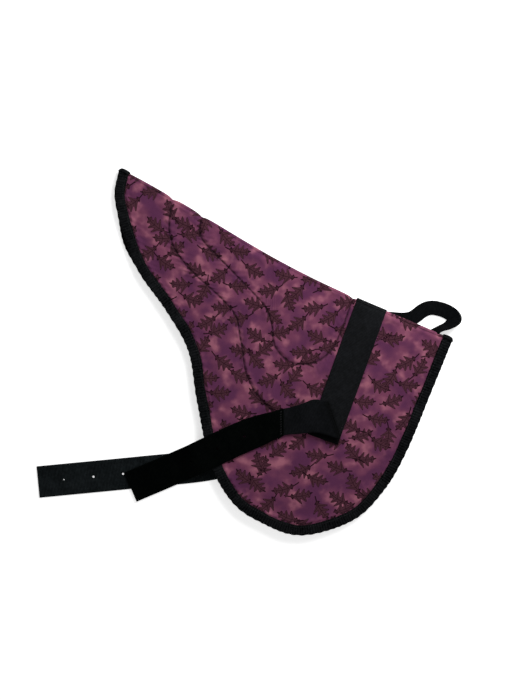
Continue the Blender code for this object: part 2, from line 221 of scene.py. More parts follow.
def new_piece(name: str, points: Array, faces: list, uv: Array | None = None) -> bpy.types.Object:
    """Makes a smooth-shaded mesh object, with its UV map in metres.

    Args:
        name: The piece's name.
        points: Its points, in the frame.
        faces: Corner numbers of each face.
        uv: A UV pair for each point, or None.

    Returns:
        The new object, at the origin.
    """
    mesh = bpy.data.meshes.new(name)
    mesh.from_pydata(points.reshape(-1, 3).tolist(), [], faces)
    if uv is not None:
        corner = np.zeros(len(mesh.loops), np.int32)
        mesh.loops.foreach_get("vertex_index", corner)
        layer = mesh.uv_layers.new(name="cloth")
        layer.data.foreach_set("uv", uv.reshape(-1, 2)[corner].astype(np.float32).ravel())
    mesh.update()
    mesh.shade_smooth()
    piece = bpy.data.objects.new(name, mesh)
    bpy.context.scene.collection.objects.link(piece)
    return piece


def mark(piece: bpy.types.Object, name: str, values: Array) -> None:
    """Stores a number for each point of a piece, for its finish to read."""
    layer = piece.data.attributes.new(name, "FLOAT", "POINT")
    layer.data.foreach_set("value", np.asarray(values, np.float32).ravel())


def swept(name: str, rings: Array, uv: Array) -> bpy.types.Object:
    """A closed bar through a row of closed outlines, with both ends filled.

    Args:
        name: The piece's name.
        rings: Outline points, as stations by sides by 3.
        uv: UV pairs, as stations by sides by 2.

    Returns:
        The new object.
    """
    stations, sides = rings.shape[:2]
    number = np.arange(stations * sides).reshape(stations, sides)
    ends = [number[0, ::-1].tolist(), number[-1].tolist()]
    piece = new_piece(name, rings, grid_quads(stations, sides, wrap=True).tolist() + ends, uv)
    return facing_out(piece, rings.mean(axis=(0, 1)))


def facing_out(piece: bpy.types.Object, inside: Array) -> bpy.types.Object:
    """Turns a closed mesh's faces round if its signed volume about a point inside is negative.

    Args:
        piece: The object whose mesh is closed.
        inside: A point within it.

    Returns:
        The same object.
    """
    mesh = piece.data
    mesh.calc_loop_triangles()
    corners = np.zeros(len(mesh.loop_triangles) * 3, np.int32)
    mesh.loop_triangles.foreach_get("vertices", corners)
    co = np.zeros(len(mesh.vertices) * 3, np.float32)
    mesh.vertices.foreach_get("co", co)
    tri = co.reshape(-1, 3)[corners].reshape(-1, 3, 3) - inside
    if np.einsum("ij,ij->i", tri[:, 0], np.cross(tri[:, 1], tri[:, 2])).sum() < 0:
        mesh.flip_normals()
    return piece


def slab(name: str, low: Array, high: Array, uv: Array) -> bpy.types.Object:
    """A closed sheet between two grids of points, with a wall round its rim.

    Args:
        name: The piece's name.
        low: Points of one face, as rows by columns by 3.
        high: Points of the other face.
        uv: UV pairs for both faces, as rows by columns by 2.

    Returns:
        The new object.
    """
    rows, columns = low.shape[:2]
    count = rows * columns
    number = np.arange(count).reshape(rows, columns)
    rim = np.concatenate([number[0, :-1], number[:-1, -1], number[-1, :0:-1], number[:0:-1, 0]])
    after = np.roll(rim, -1)
    wall = np.stack([rim, after, after + count, rim + count], axis=-1)
    quads = grid_quads(rows, columns)
    faces = np.vstack([quads[:, ::-1], quads + count, wall])
    piece = new_piece(name, np.stack([low, high]), faces.tolist(), np.stack([uv, uv]))
    return facing_out(piece, np.stack([low, high]).mean(axis=(0, 1, 2)))


def dress(
    piece: bpy.types.Object, material: bpy.types.Material, body: str, slot: str, *nodes: str
) -> bpy.types.Object:
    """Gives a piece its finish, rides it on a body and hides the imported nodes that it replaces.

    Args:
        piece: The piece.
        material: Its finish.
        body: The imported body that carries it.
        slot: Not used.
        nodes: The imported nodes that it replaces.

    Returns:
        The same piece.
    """
    piece.data.materials.append(material)
    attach(piece, body)
    if nodes:
        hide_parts(*nodes)
    return piece


# Shader wiring


class Wire:
    """A shader socket that takes part in sums: each operator adds a Math node."""

    def __init__(self, finish: "Finish", socket: Any) -> None:
        """Keeps the socket and the finish it belongs to."""
        self.finish = finish
        self.socket = socket

    def math(self, operation: str, *others: Any, swap: bool = False) -> "Wire":
        """Adds a Math node on this value and others.

        Args:
            operation: The Math node's operation.
            others: Further values or wires.
            swap: Whether this value comes second.

        Returns:
            The result's wire.
        """
        values = [self, *others]
        if swap:
            values = values[::-1]
        return self.finish.node("ShaderNodeMath", {"operation": operation}, dict(enumerate(values)))

    def __add__(self, other: Any) -> "Wire":
        """Sum."""
        return self.math("ADD", other)

    __radd__ = __add__

    def __sub__(self, other: Any) -> "Wire":
        """Difference."""
        return self.math("SUBTRACT", other)

    def __rsub__(self, other: Any) -> "Wire":
        """Difference, the other way round."""
        return self.math("SUBTRACT", other, swap=True)

    def __mul__(self, other: Any) -> "Wire":
        """Product."""
        return self.math("MULTIPLY", other)

    __rmul__ = __mul__

    def __truediv__(self, other: Any) -> "Wire":
        """Quotient."""
        return self.math("DIVIDE", other)

    def __rtruediv__(self, other: Any) -> "Wire":
        """Quotient, the other way round."""
        return self.math("DIVIDE", other, swap=True)

    def __abs__(self) -> "Wire":
        """Size without sign."""
        return self.math("ABSOLUTE")

    def __gt__(self, other: Any) -> "Wire":
        """1 where this is greater."""
        return self.math("GREATER_THAN", other)

    def sine(self) -> "Wire":
        """Sine of an angle in radians."""
        return self.math("SINE")

    def fraction(self) -> "Wire":
        """The part after the whole number."""
        return self.math("FRACT")

    def least(self, other: Any) -> "Wire":
        """The smaller of two."""
        return self.math("MINIMUM", other)

    def most(self, other: Any) -> "Wire":
        """The larger of two."""
        return self.math("MAXIMUM", other)

    def step(self, low: float, high: float) -> "Wire":
        """Smooth step from 0 at low to 1 at high."""
        settings = {"interpolation_type": "SMOOTHSTEP"}
        return self.finish.node("ShaderNodeMapRange", settings, {0: self, 1: low, 2: high, 3: 0.0, 4: 1.0})


class Finish:
    """One material being wired: makes its nodes and sets its shader."""

    def __init__(self, name: str) -> None:
        """Starts a material with only its shader and output.

        Args:
            name: The material's name.
        """
        self.material = bpy.data.materials.new(name)
        self.material.use_nodes = True
        self.tree = self.material.node_tree
        self.shader = self.tree.nodes["Principled BSDF"]

    def node(
        self, kind: str, settings: dict | None = None, values: dict | None = None, out: Any = 0
    ) -> Wire:
        """Adds a node: settings first, then the values or links of its sockets.

        Args:
            kind: The node's type name.
            settings: Attributes of the node, such as a Math node's operation.
            values: Socket name or number to a number, a tuple or a wire.
            out: Name or number of the output to return.

        Returns:
            The wire of that output.
        """
        made = self.tree.nodes.new(kind)
        for key, value in (settings or {}).items():
            setattr(made, key, value)
        for key, value in (values or {}).items():
            self.feed(made.inputs[key], value)
        return Wire(self, made.outputs[out])

    def feed(self, socket: Any, value: Any) -> None:
        """Links a wire to a socket, or sets the socket's own value.

        Args:
            socket: The input to feed.
            value: A wire, a number or a tuple.
        """
        if isinstance(value, Wire):
            self.tree.links.new(value.socket, socket)
        else:
            socket.default_value = value

    def blend(self, first: Any, second: Any, share: Any) -> Wire:
        """Mixes two colours by a share from 0 to 1."""
        settings = {"data_type": "RGBA", "clamp_factor": True}
        return self.node("ShaderNodeMix", settings, {0: share, 6: first, 7: second}, out=2)

    def coordinates(self, kind: str) -> Wire:
        """The Object or UV coordinates of the point being shaded."""
        return self.node("ShaderNodeTexCoord", out=kind)

    def parts(self, vector: Wire) -> tuple[Wire, Wire]:
        """The first two components of a vector."""
        x = self.node("ShaderNodeSeparateXYZ", None, {0: vector}, out=0)
        return x, Wire(self, x.socket.node.outputs[1])

    def noise(self, vector: Wire, scale: float, detail: float = 2.0, roughness: float = 0.5) -> Wire:
        """Soft noise from 0 to 1."""
        values = {"Vector": vector, "Scale": scale, "Detail": detail, "Roughness": roughness}
        return self.node("ShaderNodeTexNoise", {"noise_dimensions": "3D"}, values, out=0)

    def bump(self, height: Wire, distance: float, strength: float = 1.0) -> None:
        """Feeds a height in 0 to 1 to the shader's normal."""
        values = {"Height": height, "Distance": distance, "Strength": strength}
        self.feed(self.shader.inputs["Normal"], self.node("ShaderNodeBump", None, values))

    def set(self, **values: Any) -> None:
        """Sets or links shader sockets, written with underscores for spaces."""
        for key, value in values.items():
            self.feed(self.shader.inputs[key.replace("_", " ")], value)


def ink(red: int, green: int, blue: int) -> tuple[float, float, float, float]:
    """A screen colour as a linear colour with full alpha, by the usual screen curve.

    Args:
        red: Red, from 0 to 255.
        green: Green, from 0 to 255.
        blue: Blue, from 0 to 255.

    Returns:
        Linear red, green, blue and alpha.
    """
    share = np.array([red, green, blue]) / 255
    linear = np.where(share <= 0.04045, share / 12.92, ((share + 0.055) / 1.055) ** 2.4)
    return (*linear.tolist(), 1.0)


@dataclass(frozen=True)
class PrintedCotton:
    """Mottled purple and mauve cotton with a scattered print of lobed leaves."""

    purple: tuple = ink(85, 43, 73)
    mauve: tuple = ink(112, 60, 84)
    rose: tuple = ink(156, 95, 112)
    leaf: tuple = ink(72, 40, 51)
    outline: tuple = ink(26, 6, 14)
    # Dark colour for the fine flecks, and for the painted shade along the quilted lines
    shade: tuple = ink(24, 8, 16)
    turn: float = math.radians(-27)
    spacing: float = 48 * MM
    scatter: float = 0.38
    swing: float = 2.2
    half_length: float = 17.5 * MM
    half_width: float = 11.5 * MM
    midrib_bend: float = 9.0
    lobe_pitch: float = 9.0 * MM
    lobe_slant: float = 0.55
    stem: float = 0.8 * MM
    line: float = 1.2 * MM
    thread: float = 0.9 * MM
    layers: tuple = (((0.024, 0.024, 0.0), -0.3), ((0.0, 0.0, 0.0), 0.2))

    def leaves(self, finish: Finish, cloth: Wire, shift: tuple, turn: float) -> tuple[Wire, Wire]:
        """How deep each point is inside a lobed leaf, and how near to a vein, both in metres.

        Each Voronoi cell holds one leaf, turned by the cell's own random number. With x along the
        midrib and y from it, the half width is (1 - r squared)(1 - r / 4) times a raised cosine of x
        less a share of y, where r is x over half the length, so that the lobes slant forwards. A thin
        stem runs on behind.

        Args:
            finish: The material being wired.
            cloth: Cloth coordinates in metres.
            shift: How far this layer's cells are moved.
            turn: Turn of the whole layer in radians.

        Returns:
            The depth's wire and the veins' wire.
        """
        moved = finish.node("ShaderNodeVectorMath", {"operation": "ADD"}, {0: cloth, 1: shift})
        settings = {"voronoi_dimensions": "2D", "feature": "F1"}
        values = {"Vector": moved, "Scale": 1 / self.spacing, "Randomness": self.scatter}
        cell = finish.node("ShaderNodeTexVoronoi", settings, values, out="Position")
        chance, flip = finish.parts(Wire(finish, cell.socket.node.outputs["Color"]))
        local = finish.node("ShaderNodeVectorMath", {"operation": "SUBTRACT"}, {0: moved, 1: cell})
        values = {"Vector": local, "Angle": (chance - 0.5) * self.swing + turn}
        x, y = finish.parts(finish.node("ShaderNodeVectorRotate", {"rotation_type": "Z_AXIS"}, values))
        x = x * ((flip > 0.5) * 2 - 1)
        y = y - x * x * self.midrib_bend
        aside, reach = abs(y), x / self.half_length
        lobe = (x - self.lobe_slant * aside) / self.lobe_pitch
        wave = (lobe * (2 * math.pi)).math("COSINE") * 0.36 + 0.74
        width = (1 - reach * reach) * (1 - 0.25 * reach) * wave * self.half_width
        stem = (self.stem - aside).least((abs(reach + 1.15) * -1 + 0.35) * self.half_length)
        depth = (width - aside).most(stem)
        side_vein = abs((lobe + 0.5).fraction() - 0.5) * self.lobe_pitch
        side_vein = side_vein.most((aside - width * 0.72) * 2)
        return depth, side_vein.least(aside)

    def overprint(self, finish: Finish, ground: Wire, drawn: tuple) -> Wire:
        """Draws one layer of leaves over the ground: a plum fill in a dark outline, with dark veins.

        Args:
            finish: The material being wired.
            ground: The colour under the leaves.
            drawn: Wires of the depth inside a leaf and of the distance to a vein.

        Returns:
            The colour's wire.
        """
        depth, vein = drawn
        inside = depth.step(-0.35 * MM, 0.1 * MM)
        core = depth.step(self.line - 0.3 * MM, self.line + 0.2 * MM)
        veins = 1 - vein.step(0.25 * MM, 0.75 * MM)
        colour = finish.blend(ground, self.outline, inside)
        return finish.blend(colour, self.leaf, core * (1 - veins * 0.8))

    def build(self) -> bpy.types.Material:
        """Wires clouds of three colours, two layers of leaves, painted shade along the quilted creases and
        a fine weave.

        Returns:
            The material.
        """
        finish = Finish("printed_cotton")
        flat = finish.coordinates("UV")
        values = {"Vector": flat, "Angle": self.turn}
        cloth = finish.node("ShaderNodeVectorRotate", {"rotation_type": "Z_AXIS"}, values)
        cloud = finish.noise(cloth, 27.0, 2.0, 0.5)
        bloom = finish.noise(cloth, 47.0, 2.0, 0.5)
        speck = finish.noise(cloth, 800.0, 2.0, 0.6)
        ground = finish.blend(self.purple, self.mauve, (cloud * 0.8 + bloom * 0.2).step(0.38, 0.60))
        ground = finish.blend(ground, self.rose, (cloud * 0.45 + bloom * 0.55).step(0.50, 0.70))
        colour = ground
        for shift, turn in self.layers:
            colour = self.overprint(finish, colour, self.leaves(finish, cloth, shift, turn))
        colour = finish.blend(colour, self.shade, speck.step(0.5, 0.8) * 0.3)
        # Painted shade: the crease attribute darkens the print along the quilted lines, where the grooves
        # lie in shade
        crease = finish.node("ShaderNodeAttribute", {"attribute_name": "crease"}, out="Fac")
        colour = finish.blend(colour, self.shade, crease * 0.72)
        x, y = finish.parts(flat)
        thread = 2 * math.pi / self.thread
        weave = (x * thread).sine() * (y * thread).sine() * 0.5 + 0.5
        slub = finish.noise(flat, 260.0, 3.0, 0.6)
        finish.bump(weave * 0.45 + slub * 0.55, 0.25 * MM)
        finish.set(Base_Color=colour, Roughness=0.8 + speck * 0.14)
        finish.set(Specular_IOR_Level=0.05, Sheen_Weight=0.02, Sheen_Roughness=0.5)
        return finish.material


@dataclass(frozen=True)
class WovenBlack:
    """Black woven tape or webbing, read from its UV map: u along it, v across it."""

    name: str
    dark: tuple
    worn: tuple
    rib: float
    pick: float
    depth: float
    across: bool = False
    gloss: float = 0.03
    lint: tuple = (0.03, 0.03, 0.032, 1.0)
    pressed: tuple = (0.0006, 0.0008, 0.0008, 1.0)

    def build(self) -> bpy.types.Material:
        """Wires ribs along (or across) the strap, crossed by picks that step from rib to rib, with painted
        highlight on the rib tops mixed with wear, and painted shadow where the crease attribute is set.

        Returns:
            The material.
        """
        finish = Finish(self.name)
        u, v = finish.parts(finish.coordinates("UV"))
        if self.across:
            u, v = v, u
        ridge = abs((v * (math.pi / self.rib)).sine())
        stagger = (v / self.rib).math("FLOOR") * math.pi
        pick = (u * (2 * math.pi / self.pick) + stagger).sine() * 0.5 + 0.5
        height = ridge * 0.6 + ridge * pick * 0.4
        place = finish.coordinates("Object")
        lint = finish.noise(place, 420.0, 4.0, 0.7)
        wear = finish.noise(place, 24.0, 3.0, 0.55)
        speck = finish.noise(place, 260.0, 2.0, 0.6).step(0.38, 0.68)
        # Painted highlight: the rib tops are lighter by their height, mixed with real wear patches and
        # specks
        highlight_and_wear = height * height * 0.5 + wear.step(0.4, 0.7) * 0.25 + speck * 0.3
        shade = finish.blend(self.dark, self.worn, highlight_and_wear)
        shade = finish.blend(shade, self.lint, lint.step(0.68, 0.84) * 0.25)
        # Painted shadow by the near lead's fold and under it, read from the crease attribute
        crease = finish.node("ShaderNodeAttribute", {"attribute_name": "crease"}, out="Fac")
        shade = finish.blend(shade, self.pressed, crease * 0.85)
        finish.bump(height, self.depth)
        finish.set(Base_Color=shade, Roughness=0.62 + wear * 0.15)
        finish.set(Specular_IOR_Level=self.gloss, Sheen_Weight=0.01, Sheen_Roughness=0.4)
        return finish.material


@dataclass(frozen=True)
class BrushedFleece:
    """Charcoal fleece lining with a short napped surface."""

    dark: tuple = ink(38, 38, 42)
    light: tuple = ink(86, 86, 92)

    def build(self) -> bpy.types.Material:
        """Wires a nap of fine noise over soft clumps.

        Returns:
            The material.
        """
        finish = Finish("fleece_lining")
        place = finish.coordinates("Object")
        nap = finish.noise(place, 900.0, 4.0, 0.7)
        clump = finish.noise(place, 190.0, 3.0, 0.65).step(0.32, 0.68)
        brushed = finish.noise(place, 34.0, 2.0, 0.5).step(0.35, 0.65)
        finish.bump(nap * 0.45 + clump * 0.55, 1.1 * MM)
        finish.set(Base_Color=finish.blend(self.dark, self.light, nap * 0.3 + clump * 0.4 + brushed * 0.3))
        finish.set(Roughness=0.9 + nap * 0.08)
        finish.set(Specular_IOR_Level=0.1, Sheen_Weight=0.35, Sheen_Roughness=0.6)
        return finish.material


@dataclass(frozen=True)
class SewingThread:
    """Twisted sewing thread of one colour."""

    name: str
    colour: tuple
    lit: tuple
    twist: float = 0.7 * MM

    def build(self) -> bpy.types.Material:
        """Wires a slanted twist along the thread: a sine of u over the twist plus v in turns.

        Returns:
            The material.
        """
        finish = Finish(self.name)
        u, v = finish.parts(finish.coordinates("UV"))
        twist = ((u / self.twist + v) * (2 * math.pi)).sine() * 0.5 + 0.5
        finish.bump(twist, 0.08 * MM)
        finish.set(Base_Color=finish.blend(self.colour, self.lit, twist), Roughness=0.5 + twist * 0.15)
        finish.set(Specular_IOR_Level=0.3)
        return finish.material


# The pad's shape


@dataclass
class PadShape:
    """Sizes of the quilted halves, and the lines that their layers follow, in metres."""

    clearance: float = 0.3 * MM
    fold_gap: float = 0.4 * MM
    lining: float = 1.2 * MM
    foam_crown: float = 5.0 * MM
    foam_seam: float = 1.2 * MM
    puff_reach: float = 16.0 * MM
    cover: float = 0.7 * MM
    binding_width: float = 16.5 * MM
    binding_thickness: float = 1.0 * MM
    webbing_width: float = 50.0 * MM
    webbing_thickness: float = 2.0 * MM
    girth_length: float = 220.0 * MM
    girth_lean: float = math.radians(7.0)
    girth_seam_inset: float = 3.0 * MM
    girth_hold: tuple = (-1.0 * MM, 5.0 * MM)
    rim_reach: tuple = (1.0 * MM, 9.0 * MM)
    spine_dip: float = 16.5 * MM
    spine_sink: float = 2.0 * MM
    spine_low: float = -120.0 * MM
    spine_half_wave: float = 330.0 * MM
    tail_droop: tuple = (-440.0 * MM, -240.0 * MM)
    front_droop: tuple = (60.0 * MM, 150.0 * MM)
    seat: tuple = (-262.0 * MM, -72.0 * MM)
    edge_points: tuple = (
        (-450, 13), (-438, -24), (-402, -67), (-351, -112), (-283, -148), (-224, -188), (-176, -252),
        (-113, -329), (-57, -367), (-5, -376), (64, -366), (127, -309), (150, -244), (154, -172),
        (146, -70), (139, 11),
    )
    outer_quilt: tuple = (
        (-354, 8), (-332, -40), (-287, -70), (-193, -99), (-158, -136), (-124, -181), (-79, -208),
        (-25, -212), (24, -186), (40, -110), (36, 0),
    )
    inner_quilt: tuple = (
        (-300, 4), (-284, -22), (-214, -47), (-151, -70), (-125, -93), (-107, -119), (-74, -131),
        (-42, -117), (-25, -86), (-25, -45), (-31, -1),
    )
    off_slip: tuple = (-390.0 * MM, 24.0 * MM, 5.0 * MM)
    close_steps: int = 500
    lines: dict = field(default_factory=dict)

    def __post_init__(self) -> None:
        """Works out the stack of layers and the close lines that distances are measured to."""
        self.crown_out = self.fold_gap / 2 + self.lining + self.foam_crown + self.cover + 2 * self.clearance
        self.seam_out = self.crown_out - self.foam_crown + self.foam_seam
        self.edge_rise = self.binding_thickness + self.clearance
        self.edge_out = self.seam_out + 2 * self.edge_rise
        self.fold_height = 2 * (self.webbing_thickness + self.clearance) + self.crown_out
        self.droop = self.fold_height - self.edge_out
        edge = self.close_edge(Side.NEAR)
        x = np.linspace(edge[0, 0], edge[-1, 0], 400)
        seam = self.webbing_width / 2 - self.girth_seam_inset
        self.lines = {
            "inner": self.quilt(self.inner_quilt, 360),
            "outer": self.behind_girth(self.quilt(self.outer_quilt, 360)),
            "spine": np.column_stack([x, self.spine_y(x)]),
            "girth_rear": self.girth_line(-seam, 160),
            "girth_front": self.girth_line(seam, 160),
        }

    def spine_y(self, x: Array) -> Array:
        """The spine seam: a raised cosine that dips at the seat."""
        swing = np.cos(np.pi * (x - self.spine_low) / self.spine_half_wave)
        return self.spine_dip * (1 - swing) / 2 - self.spine_sink

    def fold_z(self, x: Array) -> Array:
        """Height of the plane between the halves, eased down to the table at the tail and the front."""
        return self.fold_height - self.droop * (1 - ease(x, *self.tail_droop) + ease(x, *self.front_droop))

    def edge(self, side: Side, steps: int) -> Array:
        """The outline of one half; the off half slips out a little past the near one by the tail.

        Args:
            side: The half.
            steps: How many equal steps to make.

        Returns:
            Plan points from the tail round to the withers.
        """
        line = rounded(np.array(self.edge_points) * MM, steps)
        if side is Side.OFF:
            centre, spread, slip = self.off_slip
            push = slip * np.exp(-(((line[:, 0] - centre) / spread) ** 2))
            line = line - self.inward(line) * push[:, None]
        return line

    def close_edge(self, side: Side) -> Array:
        """The outline in close points, to measure distances to."""
        return self.edge(side, self.close_steps)

    def inward(self, line: Array) -> Array:
        """Plan directions into the pad, to the left of its outline as it runs."""
        return level_left(line)[:, :2]

    def quilt(self, points: tuple, steps: int) -> Array:
        """One quilted line in plan."""
        return rounded(np.array(points) * MM, steps)

    def behind_girth(self, line: Array) -> Array:
        """The part of a line that lies towards the tail, up to the middle of the girth webbing."""
        middle = (self.spine_y(0.0) - line[:, 1]) * math.tan(self.girth_lean)
        return line[line[:, 0] < middle]

    def girth_point(self, distance: Array, aside: Array) -> Array:
        """Plan points on the girth webbing, by a turn of its own two directions.

        Args:
            distance: How far below the spine along the webbing.
            aside: How far aside of its middle.

        Returns:
            Plan points.
        """
        lean = self.girth_lean
        x = distance * math.sin(lean) + aside * math.cos(lean)
        y = self.spine_y(0.0) - distance * math.cos(lean) + aside * math.sin(lean)
        return np.stack([x, y], axis=-1)

    def loose(self, plan: Array) -> Array:
        """How free the cover is to pucker: 0 where the girth webbing holds it flat, 1 clear of it.

        Args:
            plan: Plan points.

        Returns:
            Shares from 0 to 1.
        """
        lean = self.girth_lean
        x, y = plan[..., 0], plan[..., 1] - self.spine_y(0.0)
        aside = np.abs(x * math.cos(lean) + y * math.sin(lean)) - self.webbing_width / 2
        past = x * math.sin(lean) - y * math.cos(lean) - self.girth_length
        return ease(np.maximum(aside, past), *self.girth_hold)

    def girth_line(self, aside: float, steps: int) -> Array:
        """A line down the girth webbing at one distance from its middle."""
        return self.girth_point(np.linspace(0, self.girth_length, steps), np.full(steps, aside))

    def to_seams(self, plan: Array, side: Side) -> Array:
        """Distance of plan points from the nearest stitched line, negative under the binding.

        Args:
            plan: Plan points.
            side: The half.

        Returns:
            Distances in metres.
        """
        near = gap_to(self.close_edge(side), plan) - self.binding_width
        for line in self.lines.values():
            near = np.minimum(near, gap_to(line, plan))
        return near

    def puff(self, plan: Array, side: Side) -> Array:
        """Foam thickness: thin at every stitched line, nearing the crown away from it.

        The rise is 1 less 0.62 exp(-d / reach) less 0.38 exp(-5 d / reach), where d is the distance to
        the nearest stitched line, so a sewn line has a tight groove in a broad hollow.

        Args:
            plan: Plan points.
            side: The half.

        Returns:
            Thicknesses in metres.
        """
        share = np.clip(self.to_seams(plan, side), 0, None) / self.puff_reach
        rise = 1 - 0.62 * np.exp(-share) - 0.38 * np.exp(-5 * share)
        return self.foam_seam + (self.foam_crown - self.foam_seam) * rise

    def fold_out(self, plan: Array, side: Side) -> Array:
        """How far a half's inner face is from the fold plane, drawn off it under the binding.

        Args:
            plan: Plan points.
            side: The half.

        Returns:
            Distances in metres.
        """
        start, end = (self.binding_width + reach for reach in self.rim_reach)
        rim = self.edge_rise * (1 - ease(gap_to(self.close_edge(side), plan), start, end))
        return self.fold_gap / 2 + rim

    def place(self, plan: Array, z: Array) -> Array:
        """Plan points and heights as points in the frame, none of them below the table."""
        return np.concatenate([plan + PLAN_ORIGIN, np.maximum(z, 0.0)[..., None]], axis=-1)

    def unrolled(self, plan: Array, side: Side) -> Array:
        """Cloth coordinates with the pad opened flat, so that the print runs on across the spine.

        Args:
            plan: Plan points.
            side: The half that they are on.

        Returns:
            UV pairs in metres.
        """
        below = self.spine_y(plan[..., 0]) - plan[..., 1]
        if side is Side.NEAR:
            return np.stack([plan[..., 0], -below], axis=-1)
        return np.stack([plan[..., 0], below + math.pi * self.seam_out], axis=-1)


# How the cover behaves as cloth while it settles
CLOTH = {
    "quality": 5,
    "mass": 0.25,
    "tension_stiffness": 18,
    "compression_stiffness": 18,
    "bending_stiffness": 0.6,
    "use_pressure": True,
    "uniform_pressure_force": 3.5,
    "vertex_group_mass": "sewn",
    "shrink_min": -0.012,
}


@dataclass
class QuiltedHalf:
    """One half of the pad: padded cover, lining and binding."""

    shape: PadShape
    side: Side
    finishes: dict
    columns: int = 420
    bands: tuple = (24, 22, 36, 6)
    pucker: float = 1.0 * MM
    pucker_wave: tuple = (11.0 * MM / (2 * math.pi), 1.3, 31.0 * MM)
    pucker_reach: float = 8.0 * MM
    sag_across: tuple = (21.0 * MM, 2.0, 34.0 * MM)
    sag_down: tuple = (17.0 * MM, 1.5, 47.0 * MM)
    sag_reach: float = 14.0 * MM
    cover_least: float = 1.0 * MM
    crease_depth: float = 0.9 * MM
    crease_width: float = 1.5 * MM
    crease_line: float = 1.35 * MM
    sewn_reach: float = 2.5 * MM
    lining_dimple: tuple = (0.7 * MM, 5.0 * MM)
    tape_past: float = 0.3 * MM
    tape_roll: float = 2.6 * MM
    tape_roll_fade: tuple = (1.0 * MM, 9.0 * MM)
    tape_inside: float = 1.6 * MM
    tape_border: float = 10.0 * MM
    tape_sewn: tuple = (0.35, 0.8)
    tape_crown: float = 0.25 * MM
    tape_uneven: float = 0.45 * MM
    border_wave: tuple = (13.0 * MM, 2.0, 50.0 * MM)
    roll_wave: tuple = (1.9 * MM, 2.1, 17.0 * MM)
    tape_ripple: float = 0.3 * MM
    ripple_wave: tuple = (2.1 * MM, 1.7, 21.0 * MM)
    tape_drift: float = 0.35 * MM
    drift_wave: tuple = (11.0 * MM, 2.3, 37.0 * MM)

    def rings(self, columns: int, bands: tuple) -> Array:
        """Plan grid of nested rings: the seat on the spine, both quilted lines, and the edge.

        Args:
            columns: Steps along each ring.
            bands: Rows between each pair of rings.

        Returns:
            Plan points, as rows by columns by 2.
        """
        shape = self.shape
        seat_x = np.linspace(*shape.seat, columns + 1)
        outline = shape.edge(self.side, columns)
        inward = shape.inward(outline)
        main = [
            np.column_stack([seat_x, shape.spine_y(seat_x)]),
            shape.quilt(shape.inner_quilt, columns),
            shape.quilt(shape.outer_quilt, columns),
            outline + inward * (shape.binding_width + shape.clearance),
            outline + inward * (shape.binding_thickness + shape.clearance),
        ]
        for ring in main:
            ring[[0, -1], 1] = shape.spine_y(ring[[0, -1], 0])
        rows = [a + (b - a) * self.crowded(n)[:, None, None] for a, b, n in zip(main, main[1:], bands)]
        grid = np.concatenate([*rows, main[-1][None]])
        grid[..., 1] = np.minimum(grid[..., 1], shape.spine_y(grid[..., 0]))
        return grid

    def half_grid(self) -> Array:
        """The plan grid at half the cover's own steps."""
        return self.rings(self.columns // 2, tuple(n // 2 for n in self.bands))

    @staticmethod
    def crowded(count: int) -> Array:
        """Shares from 0 towards 1 that crowd at both ends: t less a part of sin(2 pi t) / (2 pi)."""
        t = np.arange(count) / count
        return t - 0.8 * np.sin(2 * np.pi * t) / (2 * np.pi)

    def layer_z(self, plan: Array, out: Array) -> Array:
        """Heights of a layer that stands off the fold plane by the given distances."""
        return self.shape.fold_z(plan[..., 0]) + self.side.value * out

    def cover_out(self, plan: Array) -> Array:
        """Distance of the cover's outside from the fold plane, before it is puckered.

        It is the sum of the layers less a narrow crease, exp(-(d / width) squared), at the quilted lines.

        Args:
            plan: Plan points.

        Returns:
            Distances in metres.
        """
        shape = self.shape
        base = shape.fold_out(plan, self.side) + shape.lining
        tight = self.crease_depth * np.exp(-((self.to_quilting(plan) / self.crease_width) ** 2))
        return base + shape.puff(plan, self.side) + shape.cover + 2 * shape.clearance - tight

    def to_quilting(self, plan: Array) -> Array:
        """Distance of each plan point from the nearer quilted line."""
        lines = self.shape.lines
        return np.minimum(gap_to(lines["inner"], plan), gap_to(lines["outer"], plan))

    def puckers(self, plan: Array) -> Array:
        """Small waves across each seam, and slow sags between them.

        A wave along the seam dies away by exp(-d / pucker reach), where d is the distance from it, and
        a product of two drifting waves grows by 1 - exp(-d / sag reach).

        Args:
            plan: Plan points, as rows by columns.

        Returns:
            Outward moves in metres.
        """
        along = np.cumsum(np.linalg.norm(np.diff(plan, axis=1, prepend=plan[:, :1]), axis=2), axis=1)
        wave = wander(along, self.pucker_wave)
        x, y = plan[..., 0], plan[..., 1]
        band = gap_to(self.shape.close_edge(self.side), plan) - self.shape.binding_width
        near = np.minimum(self.to_quilting(plan), np.abs(band))
        sag = wander(x, self.sag_across, y) * wander(y, self.sag_down, x)
        sag = sag * (1 - np.exp(-near / self.sag_reach))
        return self.pucker * (wave * np.exp(-near / self.pucker_reach) + sag) * (band > 0)

    def settle(self, steps: int = 20, cap: float = 2.2 * MM) -> Array:
        """Lets the cover swell between its seams as cloth, and returns how far each point moved out.

        Args:
            steps: Frames of cloth to run.
            cap: The furthest that a point may move.

        Returns:
            Outward moves over the fine grid, as rows by columns.
        """
        plan = self.half_grid()
        base = self.cover_out(plan)
        points = self.shape.place(plan, base)
        rows, columns = plan.shape[:2]
        sheet = new_piece("settling_cover", points, grid_quads(rows, columns).tolist())
        near = self.shape.to_seams(plan, self.side)
        sewn = sheet.vertex_groups.new(name=CLOTH["vertex_group_mass"])
        sewn.add(np.flatnonzero(near.ravel() < self.sewn_reach).tolist(), 1.0, "REPLACE")
        cloth = sheet.modifiers.new("swell", "CLOTH")
        for key, value in CLOTH.items():
            setattr(cloth.settings, key, value)
        cloth.settings.effector_weights.gravity = 0
        scene = bpy.context.scene
        for number in range(1, steps + 1):
            scene.frame_set(number)
        graph = bpy.context.evaluated_depsgraph_get()
        settled = np.zeros(rows * columns * 3, np.float32)
        sheet.evaluated_get(graph).data.vertices.foreach_get("co", settled)
        scene.frame_set(1)
        moved = settled.reshape(rows, columns, 3)[..., 2] - base
        bpy.data.objects.remove(sheet, do_unlink=True)
        return self.refine(cap * np.tanh(moved / cap))

